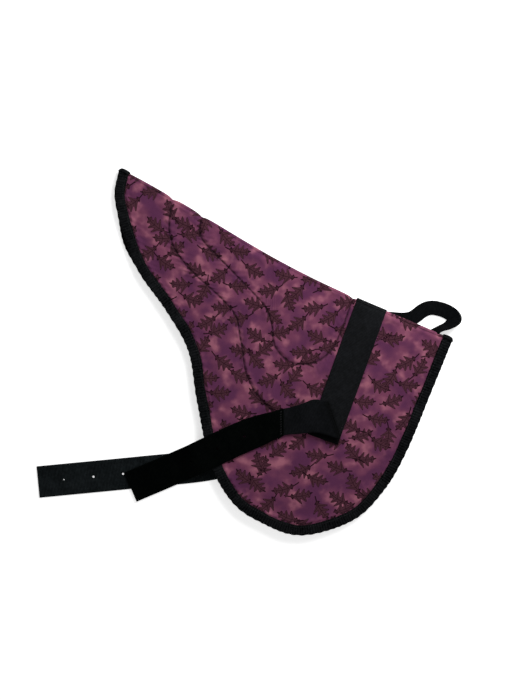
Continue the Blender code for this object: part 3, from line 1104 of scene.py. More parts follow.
    def refine(self, coarse: Array) -> Array:
        """Carries values from the coarse grid to the fine one by linear interpolation both ways.

        Args:
            coarse: Values, as rows by columns.

        Returns:
            Values over the cover's own grid.
        """
        rows, columns = sum(self.bands) + 1, self.columns + 1
        across = np.linspace(0, coarse.shape[1] - 1, columns)
        wide = np.stack([np.interp(across, np.arange(coarse.shape[1]), row) for row in coarse])
        down = np.linspace(0, coarse.shape[0] - 1, rows)
        return np.stack([np.interp(down, np.arange(coarse.shape[0]), column) for column in wide.T], axis=1)

    def make_cover(self, swell: Array) -> bpy.types.Object:
        """The printed cover with its foam, as one closed padded form.

        Args:
            swell: Outward moves of the settled cloth, over the cover's grid.

        Returns:
            The new object.
        """
        shape = self.shape
        plan = self.rings(self.columns, self.bands)
        top = self.cover_out(plan) + (self.puckers(plan) + swell) * shape.loose(plan)
        bottom = shape.fold_out(plan, self.side) + shape.lining + 0.5 * shape.clearance
        low = shape.place(plan, self.layer_z(plan, bottom))
        high = shape.place(plan, self.layer_z(plan, np.maximum(top, bottom + self.cover_least)))
        name = self.side.label
        piece = slab(f"{name}_quilted_cover", low, high, shape.unrolled(plan, self.side))
        # Painted shade along the quilted lines, for the cotton to darken where the grooves lie in shade
        crease = np.exp(-((self.to_quilting(plan) / self.crease_line) ** 2))
        mark(piece, "crease", np.stack([crease, crease]))
        nodes = (f"{name}_cover", f"{name}_foam")
        dress(piece, self.finishes["cotton"], self.side.body, "printed_cotton", *nodes)
        return piece

    def make_lining(self) -> bpy.types.Object:
        """The fleece inside, dimpled by exp(-d / reach) along the quilted lines.

        Returns:
            The new object.
        """
        shape = self.shape
        plan = self.half_grid()
        deep, reach = self.lining_dimple
        inner = shape.fold_out(plan, self.side) + deep * np.exp(-self.to_quilting(plan) / reach)
        outer = shape.fold_out(plan, self.side) + shape.lining
        low = shape.place(plan, self.layer_z(plan, inner))
        high = shape.place(plan, self.layer_z(plan, outer))
        name = self.side.label
        piece = slab(f"{name}_fleece_lining", low, high, shape.unrolled(plan, self.side))
        return dress(piece, self.finishes["fleece"], self.side.body, "fleece_lining", f"{name}_lining")

    def make_binding(self) -> bpy.types.Object:
        """Tape folded over the edge: a channel carried along the outline, a little uneven as it was sewn.

        Drifting waves along the edge move the tape's inner border, its roll and its face.

        Returns:
            The new object.
        """
        shape = self.shape
        line = shape.edge(self.side, 520)
        inward = shape.inward(line)
        line[[0, -1], 1] = shape.spine_y(line[[0, -1], 0]) + self.tape_past
        along = running_length(line)
        depth, out = self.tape_outline()
        at_border = depth > self.tape_border
        at_roll = 1 - ease(depth, *self.tape_roll_fade)
        ends = np.sin(np.pi * along / along[-1]) ** 0.2
        uneven = self.tape_uneven * wander(along, self.border_wave) * ends
        wobble = self.tape_uneven * wander(along, self.roll_wave) * ends
        reach = depth + uneven[:, None] * at_border + wobble[:, None] * at_roll
        plan = line[:, None, :] + reach[..., None] * inward[:, None, :]
        plan[..., 1] = np.minimum(plan[..., 1], shape.spine_y(plan[..., 0]) + self.tape_past)
        plan[[0, -1], :, 1] = shape.spine_y(plan[[0, -1], :, 0]) + self.tape_past
        ripple = self.tape_ripple * wander(along, self.ripple_wave)
        slow = self.tape_drift * wander(along, self.drift_wave)
        sewn = ease(depth, *(share * shape.binding_width for share in self.tape_sewn))
        lift = out + (ripple[:, None] * sewn + slow[:, None]) * (out > 0.6 * shape.edge_out)
        rings = shape.place(plan, self.layer_z(plan, lift))
        girth = running_length(np.column_stack([depth, out]))
        uv = np.stack(np.broadcast_arrays(along[:, None], girth[None, :]), axis=-1)
        name = self.side.label
        piece = swept(f"{name}_binding_tape", rings, uv)
        return dress(piece, self.finishes["tape"], self.side.body, "binding_tape", f"{name}_binding")

    def tape_outline(self) -> tuple[Array, Array]:
        """The folded tape's section: two flats joined by a half-ellipse roll, with a wall's thickness.

        Returns:
            Depths in from the edge, and distances out from the fold plane.
        """
        shape, roll = self.shape, self.tape_roll
        low, high, wall = shape.fold_gap / 2, shape.edge_out, shape.binding_thickness
        width = shape.binding_width
        turn = np.linspace(-math.pi / 2, math.pi / 2, 13)
        roll_depth = roll * (1 - np.cos(turn))
        roll_out = (low + high) / 2 + (high - low) / 2 * np.sin(turn)
        flat = np.linspace(roll, width, 8)[1:]
        inside = [wall + self.tape_inside] * 2
        depth = np.concatenate([flat[::-1], roll_depth, flat, flat[::-1], inside, flat])
        lower = np.full(flat.shape, low)
        upper = high + self.tape_crown * np.sin(np.pi * (flat - roll) / (width - roll))
        under = np.concatenate([(upper - wall)[::-1], [high - wall, low + wall], lower + wall])
        return depth, np.concatenate([lower, roll_out, upper, under])


def stitch_row(name: str, line: Array, rise: Array, pitch: float, thick: float) -> bpy.types.Object:
    """Separate stitches along a line: each is a thin capsule that arches and dips in at its ends.

    A stitch reaches 0.39 of the pitch each way from its middle, and stands out of the cloth by
    thick (0.3 - 0.9 s to the fourth), where s runs from -1 to 1 along it.

    Args:
        name: The piece's name.
        line: Points that the row follows.
        rise: Directions out of the cloth at those points.
        pitch: Distance from one stitch to the next.
        thick: Thread diameter.

    Returns:
        The new object.
    """
    along = running_length(line)
    count = max(2, int(along[-1] / pitch))
    middle = (np.arange(count) + 0.5) * along[-1] / count
    share = np.array([-1.0, -0.8, -0.35, 0.35, 0.8, 1.0])
    size = np.array([0.2, 0.75, 1.0, 1.0, 0.75, 0.2])
    stations, sides = len(share), 6
    at = middle[:, None] + share[None, :] * 0.39 * pitch
    centre = sampled(line, along, at)
    out = unit(sampled(rise, along, at))
    run = unit(np.gradient(centre, axis=1))
    aside = unit(np.cross(run, out))
    turn = np.arange(sides) * 2 * math.pi / sides
    radius = (thick / 2 * size)[None, :, None, None]
    lift = out * (thick * (0.3 - 0.9 * share**4))[None, :, None]
    spoke = aside[:, :, None] * np.cos(turn)[:, None] + out[:, :, None] * np.sin(turn)[:, None]
    points = (centre + lift)[:, :, None] + spoke * radius
    number = np.arange(stations * sides).reshape(stations, sides)
    caps = np.stack([number[0, ::-1], number[-1]])
    offset = (np.arange(count) * number.size)[:, None, None]
    walls = grid_quads(stations, sides, wrap=True) + offset
    faces = walls.reshape(-1, 4).tolist() + (caps + offset).reshape(-1, sides).tolist()
    uv = np.stack(np.broadcast_arrays(at[:, :, None], turn / (2 * math.pi)), axis=-1)
    return new_piece(name, points, faces, uv)


@dataclass
class Strap:
    """A length of webbing: a flat section with rounded selvedges, carried along a route."""

    width: float
    thickness: float
    across_steps: int = 16
    selvedge: float = 0.12 * MM
    selvedge_reach: float = 2.2 * MM
    hole: float = 1.8 * MM
    end_hole: float = 1.1 * MM
    hole_sides: int = 24
    punch_reach: float = 8.0 * MM

    def section(self) -> tuple[Array, Array]:
        """The webbing's section: a flat bar with half-round sides.

        Its upper face swells at the selvedges by exp(-(d / reach) squared), where d is the distance
        from the side.

        Returns:
            Distances aside, and heights above the underside.
        """
        radius = self.thickness / 2
        flat = np.linspace(-self.width / 2 + radius, self.width / 2 - radius, self.across_steps)
        bend = np.linspace(math.pi / 2, -math.pi / 2, 7)[1:-1]
        right = self.width / 2 - radius + radius * np.cos(bend)
        height = radius + radius * np.sin(bend)
        from_side = (self.width / 2 - np.abs(flat)) / self.selvedge_reach
        top = self.thickness + self.selvedge * np.exp(-(from_side**2))
        aside = np.concatenate([flat, right, flat[::-1], -right])
        return aside, np.concatenate([top, height, 0 * flat, height[::-1]])

    def along(self, name: str, line: Array, across: Array) -> bpy.types.Object:
        """Carries the section along a route.

        Args:
            name: The piece's name.
            line: Middle of the underside, in the frame.
            across: Directions of its width at those points.

        Returns:
            The new object.
        """
        up = unit(np.cross(np.gradient(line, axis=0), across))
        aside, height = self.section()
        rings = line[:, None] + across[:, None] * aside[:, None] + up[:, None] * height[:, None]
        uv = np.stack(np.broadcast_arrays(running_length(line)[:, None], aside[None, :]), axis=-1)
        return swept(name, rings, uv)

    def punch(self, piece: bpy.types.Object, line: Array, first: float, pitch: float, count: int) -> None:
        """Cuts a row of round holes, counted from the route's far end.

        Args:
            piece: The strap to cut.
            line: Its route.
            first: Distance of the first hole from the end.
            pitch: Distance between holes.
            count: How many holes.
        """
        back = line[::-1]
        centre = sampled(back, running_length(back), first + pitch * np.arange(count))
        turn = np.linspace(0, 2 * math.pi, self.hole_sides, endpoint=False)
        size = np.full(count, self.hole)
        size[0] = self.end_hole
        ring = np.column_stack([np.cos(turn), np.sin(turn)]) * size[:, None, None, None]
        grid = (count, 2, self.hole_sides)
        plan = np.broadcast_to(centre[:, None, None, :2] + ring, (*grid, 2))
        ends = centre[:, 2:] + np.array([-self.punch_reach, self.punch_reach])
        z = np.broadcast_to(ends[:, :, None, None], (*grid, 1))
        number = np.arange(math.prod(grid)).reshape(grid)
        low, high = number[:, 0], number[:, 1]
        sides = np.stack([low, np.roll(low, -1, 1), np.roll(high, -1, 1), high], axis=-1)
        faces = sides.reshape(-1, 4).tolist() + low[:, ::-1].tolist() + high.tolist()
        cutter = new_piece(piece.name + "_punch", np.concatenate([plan, z], axis=-1), faces)
        cut = piece.modifiers.new("holes", "BOOLEAN")
        cut.operation = "DIFFERENCE"
        cut.solver = "EXACT"
        cut.object = cutter
        graph = bpy.context.evaluated_depsgraph_get()
        holed = bpy.data.meshes.new_from_object(piece.evaluated_get(graph))
        piece.modifiers.clear()
        piece.data = holed
        bpy.data.objects.remove(cutter, do_unlink=True)


@dataclass
class Harness:
    """The girth webbing, the billets and the grab handle, with their stitching."""

    shape: PadShape
    halves: dict
    finishes: dict
    thread: float = 0.75 * MM
    girth_square: float = 14.0 * MM
    girth_past: float = 0.2 * MM
    girth_follow: float = 0.75
    girth_row: float = 21.5 * MM
    girth_row_end: float = 4.0 * MM
    girth_pitch: float = 4.2 * MM
    roll_radius: float = 3.4 * MM
    roll_turn: tuple = (-110.0, 75.0)
    roll_shade: tuple = (1.5 * MM, 5.0 * MM)
    crease_slant: float = math.radians(35.0)
    crease_fade: float = 40.0 * MM
    shade_front: tuple = (2.8 * MM, 4.2 * MM)
    shade_side: tuple = (-33.0 * MM, -26.0 * MM)
    arch: tuple = (0.32, 0.2 * MM)
    pinch: tuple = (7.0 * MM, 2.0 * MM)
    pinch_reach: float = 34.0 * MM
    lap: float = 18.0 * MM
    lap_edge: tuple = (0.454, -0.891, 0.0)
    lap_lip: tuple = (0.9 * MM, 2.4 * MM, 1.9 * MM)
    lap_rows: tuple = (3.2 * MM, 5.4 * MM)
    lap_row_share: float = 0.38
    lap_stand: float = 0.1 * MM
    lap_pitch: float = 3.6 * MM
    tab: tuple = (7.0 * MM, 22.0 * MM)
    tab_width: float = 0.8
    near_lap_ease: tuple = (4.0 * MM, 28.0 * MM)
    near_drop: tuple = (2.0 * MM, 43.0 * MM)
    near_press: float = 0.4 * MM
    off_lap_ease: tuple = (3.0 * MM, 30.0 * MM)
    hole_pitch: float = 47.0 * MM
    holes: int = 4
    near_first_hole: float = 61.0 * MM
    off_first_hole: float = 41.0 * MM
    handle_width: float = 23.0 * MM
    handle_hold: tuple = (3.0 * MM, 9.0 * MM)
    near_lead_route: tuple = (
        (-2.7, 33.3), (-21, 29.5), (-33.1, 22), (-51.1, 5.6), (-68.6, -8), (-77.8, -19),
    )
    near_billet_route: tuple = ((-70, -9.5), (-106, -45), (-143, -91), (-185, -146), (-235, -206))
    off_lead_route: tuple = ((-1, 11), (-42, -29), (-85, -68))
    off_billet_route: tuple = ((-85, -68), (-140, -118), (-227, -175), (-369, -265.6))
    handle_route: tuple = (
        (18, -6), (38, 2), (57, 10.5), (68.5, 20.5), (75.5, 35), (82.5, 44), (92, 49.4), (106, 52.5),
        (119.5, 52), (128, 46.5), (122.5, 33), (114.5, 23.5), (109.5, 16), (106, 9.5),
    )
    handle_heights: tuple = (3.6, 3.4, 2.6, 2.2, 1.8, 1.4, 1.0, 1.0, 2.6, 6.8, 9.8, 9.6, 7.2, 3.2)
    handle_tilts: tuple = (0, 0, 4, 8, 6, 4, 2, 2, 10, 32, 54, 54, 36, 10)
    handle_gather: tuple = (1, 1, 1, 1, 1, 1, 1, 1, 1, 1, 0.95, 0.72, 0.62, 0.6)
    handle_axis: tuple = ((50.0, 9.0, 4.0), (114.0, 23.0, 6.3))

    def strap(self) -> Strap:
        """The wide webbing that the girth and the billets are cut from."""
        return Strap(self.shape.webbing_width, self.shape.webbing_thickness)

    def make_girth(self, side: Side) -> None:
        """Webbing sewn down one cover: it follows the cover's own height at every point.

        Its top runs along the spine, and it eases into its own slant over the first few millimetres.

        Args:
            side: The half that it is sewn to.
        """
        shape, half = self.shape, self.halves[side]
        aside, height = Strap(shape.webbing_width, shape.webbing_thickness, 30).section()
        distance = np.linspace(0.0, shape.girth_length, 150)
        far, wide = np.broadcast_arrays(distance[:, None], aside[None, :])
        plan = shape.girth_point(far, wide)
        seam = ease(far, 0.0, self.girth_square)
        at_spine = shape.spine_y(plan[..., 0]) + self.girth_past - far
        plan[..., 1] = at_spine * (1 - seam) + plan[..., 1] * seam
        cover = half.cover_out(plan)
        middle = half.cover_out(shape.girth_point(far, 0 * wide))
        rest = cover * self.girth_follow + middle * (1 - self.girth_follow)
        rest = np.maximum(rest, cover) + shape.clearance
        rings = shape.place(plan, half.layer_z(plan, rest + height))
        piece = swept(f"{side.label}_girth_strap", rings, np.stack([far, wide], axis=-1))
        # Painted shadow of the folded lead on the near webbing, darkest under it
        if side is Side.NEAR:
            mark(piece, "crease", self.fold_shade(plan))
        node = f"{side.label}_girth_webbing"
        dress(piece, self.finishes["webbing"], side.body, "black_webbing", node)
        for label, offset in (("rear", -self.girth_row), ("front", self.girth_row)):
            self.girth_stitches(side, label, offset)

    def girth_stitches(self, side: Side, label: str, offset: float) -> None:
        """One row of stitches down the girth webbing.

        Args:
            side: The half that the webbing is on.
            label: The row's name.
            offset: How far aside of the webbing's middle it is.
        """
        shape, half = self.shape, self.halves[side]
        distance = np.linspace(self.girth_row_end, shape.girth_length - self.girth_row_end, 120)
        plan = shape.girth_point(distance, np.full(len(distance), offset))
        out = half.cover_out(plan) + shape.clearance + shape.webbing_thickness
        line = shape.place(plan, half.layer_z(plan, out))
        rise = np.tile(UP * side.value, (len(line), 1))
        name = f"{side.label}_girth_stitches_{label}"
        row = stitch_row(name, line, rise, self.girth_pitch, self.thread)
        dress(row, self.finishes["black_thread"], side.body, "quilting_thread")

    def crease(self) -> tuple[Array, Array, Array]:
        """Where the near lead folds back on itself.

        Returns:
            The middle of the crease, the lead's heading there and the crease's own direction.
        """
        plan = self.route(self.near_lead_route, 70)
        heading = unit(plan[1] - plan[0])
        left = np.array([-heading[1], heading[0]])
        return plan[0], heading, left - math.tan(self.crease_slant) * heading

    def fold_shade(self, plan: Array) -> Array:
        """Painted shadow on the near webbing by the fold: 1 under the lead, dying away in front of the
        crease.

        Args:
            plan: Plan points.

        Returns:
            Shares from 0 to 1.
        """
        middle, heading, across = self.crease()
        across = unit(across)
        ahead = (plan - middle) @ unit(heading - across * (heading @ across))
        start, reach = self.shade_front
        front = np.exp(-((np.minimum(ahead + start, 0.0) / reach) ** 2))
        return front * ease((plan - middle) @ across, *self.shade_side)

    def route(self, points: tuple, steps: int) -> Array:
        """A strap's plan route, carried by the lower end of the girth webbing."""
        end = self.shape.girth_point(np.array(self.shape.girth_length), np.array(0.0))
        return rounded(np.array(points) * MM, steps) + end

    def lapped(self, lead: Array, route: Array, steps: int) -> Array:
        """A billet's plan route, started one lap back along its lead.

        Args:
            lead: The lead's plan route.
            route: The billet's own plan route, from the lead's end on.
            steps: How many equal steps to make.

        Returns:
            Plan points.
        """
        close = 400
        start = even_points(lead, close)[-int(close * self.lap / running_length(lead)[-1])]
        return rounded(even_points(np.vstack([start, route]), 24), steps)

    def raised(self, plan: Array, stops: list) -> Array:
        """Lifts a plan route to heights that ease from stop to stop.

        Args:
            plan: Plan points along the route.
            stops: Pairs of distance along the route and height there.

        Returns:
            Points in the frame.
        """
        along = running_length(plan)
        distances, heights = (np.array(v) for v in zip(*stops))
        k = np.clip(np.searchsorted(distances, along, side="right") - 1, 0, len(distances) - 2)
        t = ease((along - distances[k]) / (distances[k + 1] - distances[k]), 0.0, 1.0)
        return self.shape.place(plan, heights[k] + (heights[k + 1] - heights[k]) * t)

    def make_near_strap(self) -> None:
        """The near lead rolls up off the webbing, arches over its root and carries the lapped billet."""
        shape, strap = self.shape, self.strap()
        on_webbing = shape.fold_height + shape.crown_out + shape.webbing_thickness + 2 * shape.clearance
        on_cover = shape.fold_height + shape.crown_out + shape.clearance
        plan = self.route(self.near_lead_route, 70)
        heading, crease = self.crease()[1:]
        inner = self.roll_radius - shape.webbing_thickness
        turn = np.radians(np.linspace(*self.roll_turn, 24))
        axis_z = on_webbing + self.roll_radius
        roll_plan = plan[0] - heading * inner * np.cos(turn)[:, None]
        roll = shape.place(roll_plan, axis_z + inner * np.sin(turn))
        length = running_length(plan)[-1]
        top = axis_z + inner
        level, drop = self.arch
        stops = [(0, top), (level * length, top - drop), (length - self.lap, on_cover), (1, on_cover)]
        arch = self.raised(plan, stops)
        line = np.vstack([roll, arch[1:]])
        slant = np.array([*crease, 0.0]) - level_left(arch)[0]
        fade = 1 - ease(running_length(plan), 0.0, self.crease_fade)
        slanted = level_left(arch) + slant * fade[:, None]
        across = np.vstack([np.tile(slanted[:1], (len(roll), 1)), slanted[1:]])
        line, across = self.pinched(line, across, running_length(line)[-1] - self.lap)
        lead = strap.along("near_strap_lead", line, across)
        # Painted shade on the lead's roll, darkest where it turns down to the webbing and fading past its
        # top
        start, past = self.roll_shade
        turned = 1 - ease(running_length(line), start, running_length(roll)[-1] + past)
        mark(lead, "crease", np.repeat(turned, len(strap.section()[0])))
        dress(lead, self.finishes["lead"], "near_strap", "black_webbing", "near_lead")
        ends = np.array([plan[0] + distance * heading for distance in self.tab])
        root = shape.place(even_points(ends, 8), np.full(9, on_webbing))
        tab = strap.along("near_strap_root", root, (level_left(root) + slant) * self.tab_width)
        # Painted shade: the whole root tab is darkened, as it lies in the lead's shadow
        mark(tab, "crease", np.ones(len(tab.data.vertices)))
        dress(tab, self.finishes["webbing"], "near_half", "black_webbing", "near_strap_tab")
        self.make_near_billet(plan, on_cover)

    def pinched(self, line: Array, across: Array, seam: float) -> tuple[Array, Array]:
        """Narrows a strap where its lap is sewn, dying away by exp(-(distance / reach) squared).

        Args:
            line: The strap's route.
            across: Directions of its width.
            seam: Distance of the seam along the route.

        Returns:
            The shifted route and the shortened directions.
        """
        left, right = self.pinch
        share = np.exp(-(((running_length(line) - seam) / self.pinch_reach) ** 2))[:, None]
        shifted = line + across * share * (right - left) / 2
        return shifted, across * (1 - share * (left + right) / self.shape.webbing_width)

    def make_near_billet(self, lead: Array, on_cover: float) -> None:
        """The near billet: lapped on the lead, laid over the pad and dropped off its edge.

        Its sewn end has a small lip, height exp(-((s - place) / reach) squared).

        Args:
            lead: The lead's plan route.
            on_cover: Height of the near cover's top.
        """
        shape, strap, lap = self.shape, self.strap(), self.lap
        over = on_cover + shape.webbing_thickness + shape.clearance
        low = shape.webbing_thickness + 2 * shape.clearance
        route = self.route(self.near_billet_route, 300)
        edge = lap + running_length(route)[gap_to(shape.close_edge(Side.NEAR), route).argmin()]
        plan = self.lapped(lead, route, 300)
        stops = [
            (0, over),
            (lap + self.near_lap_ease[0], over),
            (lap + self.near_lap_ease[1], on_cover),
            (edge + self.near_drop[0], on_cover - self.near_press),
            (edge + self.near_drop[1], low),
            (1, low),
        ]
        line = self.raised(plan, stops)
        lip, place, reach = self.lap_lip
        line[:, 2] += lip * np.exp(-(((running_length(plan) - place) / reach) ** 2))
        across = level_left(line)
        cut = np.array(self.lap_edge) / (across[0] @ self.lap_edge) - across[0]
        across = across + cut * (1 - ease(running_length(line), 0.0, self.crease_fade))[:, None]
        pinched, across = self.pinched(line, across, 0.0)
        billet = strap.along("near_strap_billet", pinched, across)
        strap.punch(billet, line, self.near_first_hole, self.hole_pitch, self.holes)
        dress(billet, self.finishes["near_billet"], "near_strap", "black_webbing", "near_billet")
        self.lap_stitches(pinched)

    def lap_stitches(self, line: Array) -> None:
        """Rows of stitches across the near billet where it is lapped on its lead.

        Args:
            line: The billet's route.
        """
        shape = self.shape
        across = np.linspace(-self.lap_row_share, self.lap_row_share, 24)[:, None] * shape.webbing_width
        rise = UP * (shape.webbing_thickness + self.lap_stand)
        for number, at in enumerate(self.lap_rows, 1):
            start = line[int(np.searchsorted(running_length(line), at))]
            place = start + np.array(self.lap_edge) * across + rise
            out = np.tile(UP, (len(place), 1))
            row = stitch_row(f"near_lap_stitches_{number}", place, out, self.lap_pitch, self.thread)
            dress(row, self.finishes["black_thread"], "near_strap", "quilting_thread")

    def make_off_strap(self) -> None:
        """The off lead under the webbing's end, and its billet, flat on the table."""
        shape, strap = self.shape, self.strap()
        plan = self.route(self.off_lead_route, 60)
        line = shape.place(plan, np.zeros(len(plan)))
        lead = strap.along("off_strap_lead", line, level_left(line))
        dress(lead, self.finishes["webbing"], "off_strap", "black_webbing", "off_lead")
        over = shape.webbing_thickness + shape.clearance
        route = self.lapped(plan, self.route(self.off_billet_route, 300), 190)
        start, end = (self.lap + distance for distance in self.off_lap_ease)
        line = self.raised(route, [(0, over), (start, over), (end, 0.0), (1, 0.0)])
        billet = strap.along("off_strap_billet", line, level_left(line))
        strap.punch(billet, line, self.off_first_hole, self.hole_pitch, self.holes)
        dress(billet, self.finishes["off_billet"], "off_strap", "black_webbing", "off_billet")

    def make_handle(self) -> None:
        """The grab handle: narrow webbing that lies flat from under the spine and turns up at its front.

        Its ends are sewn to the off half; the span where they hold is worked out but not used, and the
        piece is baked into the frame without a body.
        """
        plan, height = np.array(self.handle_route) * MM, np.array(self.handle_heights) * MM
        rows = np.column_stack([plan, height, np.radians(self.handle_tilts), self.handle_gather])
        rows = rounded(rows, 150)
        line = self.shape.place(rows[:, :2], rows[:, 2])
        tilt, gather = rows[:, 3:4], rows[:, 4:]
        across = (level_left(line) * np.cos(tilt) + UP * np.sin(tilt)) * gather
        strap = Strap(self.handle_width, self.shape.webbing_thickness, 12)
        piece = strap.along("grab_handle_webbing", line, across)
        piece.data.materials.append(self.finishes["handle"])
        rear, front = (np.array(point) * MM for point in self.handle_axis)
        out = unit(np.array([rear[1] - front[1], front[0] - rear[0], 0.0]))
        root = rear + np.array([*PLAN_ORIGIN, 0.0])
        start, end = root - self.handle_hold[0] * out, root + self.handle_hold[1] * out
        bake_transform(piece)
        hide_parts("grab_handle")


@dataclass
class Spine:
    """Cover, webbing and binding where they bend round the spine from one half to the other."""

    shape: PadShape
    finishes: dict
    bend_steps: int = 22
    ease_height: float = 3.4 * MM
    stand: float = 0.1 * MM
    lining_radius: float = 1.0 * MM
    lining_wall: float = 0.6 * MM
    lining_leg: float = 5.0 * MM
    swell: float = 0.7 * MM
    notch: float = 2.4 * MM
    notch_reach: float = 6.0 * MM
    knob_start: float = 0.8
    knob_past: float = 0.3
    knob_swell: float = 0.9 * MM
    knob_close: float = 0.97
    knob_least: float = 0.1 * MM

    def half_ring(
        self, x: Array, inner: Any, outer: Any, rise: Any = 0.0, level: Any = None, leg: float = 0.0
    ) -> tuple[Array, Array]:
        """Sections of a layer bent half a turn round the spine line.

        The radius grows by the rise times the cosine of the turn, so a swelling dies away where the
        bend meets the halves.

        Args:
            x: Plan places along the spine.
            inner: Inner radius of the bend at each place.
            outer: Outer radius of the bend at each place.
            rise: How far the bend swells at its middle.
            level: Heights of the bend's middle, where it isn't the fold plane's own.
            leg: How far the bend's two ends run on into the halves.

        Returns:
            Rings of points, and their UV pairs.
        """
        shape = self.shape
        level = shape.fold_z(x) if level is None else level
        turn = np.linspace(math.pi / 2, -math.pi / 2, self.bend_steps)
        back = np.zeros(self.bend_steps)
        if leg:
            turn, back = np.pad(turn, 1, mode="edge"), np.pad(back, 1, constant_values=leg)
        angle = np.concatenate([turn, turn[::-1]])
        grid = (len(x), len(turn))
        wide, thin = (np.broadcast_to(np.asarray(r)[..., None], grid) for r in (outer, inner))
        radius = np.concatenate([wide, thin], axis=1) + np.asarray(rise)[..., None] * np.cos(angle)
        y = shape.spine_y(x)[:, None] + self.stand + radius * np.cos(angle) - np.tile(back, 2)
        z = level[:, None] + radius * np.sin(angle)
        rings = shape.place(np.stack([np.broadcast_to(x[:, None], y.shape), y], axis=-1), z)
        girth = (math.pi / 2 - angle) * shape.seam_out
        return rings, np.stack(np.broadcast_arrays(x[:, None], girth), axis=-1)

    def bulge(self, x: Array) -> Array:
        """How far the folded cover swells between the sewn lines that cross the spine, and dips at them.

        The dip dies away by exp(-d / reach), where d is the distance from the nearest line.

        Args:
            x: Plan places along the spine.

        Returns:
            Outward moves in metres.
        """
        shape = self.shape
        ends = [line[k][0] * MM for line in (shape.outer_quilt, shape.inner_quilt) for k in (0, -1)]
        ends = [end for end in ends if end < -shape.webbing_width / 2]
        nearest = np.abs(x[:, None] - np.array(ends)).min(axis=1)
        return self.swell - (self.swell + self.notch) * np.exp(-nearest / self.notch_reach)

    def knob(self, start: float, end: float) -> tuple[Array, Array, Array]:
        """Places and radii of a binding fold that is rounded off at its outer end.

        The outer radius follows a quarter ellipse over the last few millimetres, and the inner one
        closes to nothing there.

        Args:
            start: Plan place of the inner end.
            end: Plan place of the outer end.

        Returns:
            Places along the spine, inner radii and outer radii.
        """
        shape, turned = self.shape, self.knob_start
        tip = turned + self.knob_past * np.sin(np.linspace(0.2, 1.5, 8))
        share = np.concatenate([np.linspace(0, turned, 9), tip])
        past = np.clip((share - turned) / self.knob_past, 0, 1)
        outer = shape.edge_out + self.knob_swell * np.sin(np.pi * np.clip(share, 0, 1))
        outer = outer * np.sqrt(1 - self.knob_close * past**2)
        inner = np.maximum((shape.edge_out - shape.binding_thickness) * (1 - past), self.knob_least)
        return start + (end - start) * share, np.minimum(inner, 0.8 * outer), outer

    def join(
        self, piece: bpy.types.Object, x: Array, slot: str, *nodes: str, reach: float | None = None
    ) -> None:
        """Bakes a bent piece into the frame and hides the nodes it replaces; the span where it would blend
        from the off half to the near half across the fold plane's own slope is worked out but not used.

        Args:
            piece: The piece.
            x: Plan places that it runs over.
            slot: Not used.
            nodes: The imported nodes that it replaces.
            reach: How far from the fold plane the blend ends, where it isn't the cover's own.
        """
        ends = self.shape.fold_z(x[[0, -1]])
        slope = (ends[1] - ends[0]) / (x[-1] - x[0])
        middle = np.array([*(np.array([x.mean(), 0.0]) + PLAN_ORIGIN), ends.mean()])
        normal = unit(np.array([-slope, 0.0, 1.0])) * (reach or self.ease_height)
        start, end = tuple(middle - normal), tuple(middle + normal)
        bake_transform(piece)
        if nodes:
            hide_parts(*nodes)

    def fold_lining(self, name: str, x: Array) -> None:
        """The lining's narrow fold inside one run of the spine, level from end to end of the run.

        Args:
            name: The run's name.
            x: Plan places along it.
        """
        level = np.interp(x, x[[0, -1]], self.shape.fold_z(x[[0, -1]]))
        outer = self.lining_radius + self.lining_wall
        section = self.half_ring(x, self.lining_radius, outer, level=level, leg=self.lining_leg)
        piece = swept(f"spine_lining_{name}", *section)
        piece.data.materials.append(self.finishes["fleece"])
        self.join(piece, x, "fleece_lining", reach=self.lining_radius)

    def build(self) -> None:
        """Makes the cover's and the lining's bend in three runs, then the webbing's and the binding's."""
        shape = self.shape
        rear, front = shape.close_edge(Side.NEAR)[[0, -1], 0]
        inset = shape.binding_width
        stops = [rear + inset, *shape.tail_droop[1:], shape.front_droop[0], front - inset]
        inner = shape.seam_out - shape.cover
        for name, start, end in zip(("loin", "seat", "withers"), stops, stops[1:]):
            x = np.linspace(start, end, max(20, int((end - start) / (3 * MM))))
            section = self.half_ring(x, inner, shape.seam_out, self.bulge(x))
            piece = swept(f"spine_cover_{name}", *section)
            piece.data.materials.append(self.finishes["cotton"])
            self.join(piece, x, "printed_cotton", "spine_cover")
            self.fold_lining(name, x)
        half = shape.webbing_width / 2
        x = np.linspace(-half, half, 40)
        reach = shape.seam_out + shape.clearance
        web = swept("spine_girth_bend", *self.half_ring(x, reach, reach + shape.webbing_thickness))
        web.data.materials.append(self.finishes["webbing_bend"])
        self.join(web, x, "black_webbing", "spine_girth_webbing")
        for name, start, end in (("rear", rear + inset, rear), ("front", front - inset, front)):
            x, inner, outer = self.knob(start, end)
            fold = swept(f"{name}_binding_bend", *self.half_ring(x, inner, outer))
            fold.data.materials.append(self.finishes["tape_bend"])
            self.join(fold, x, "binding_tape", f"{name}_binding_fold")


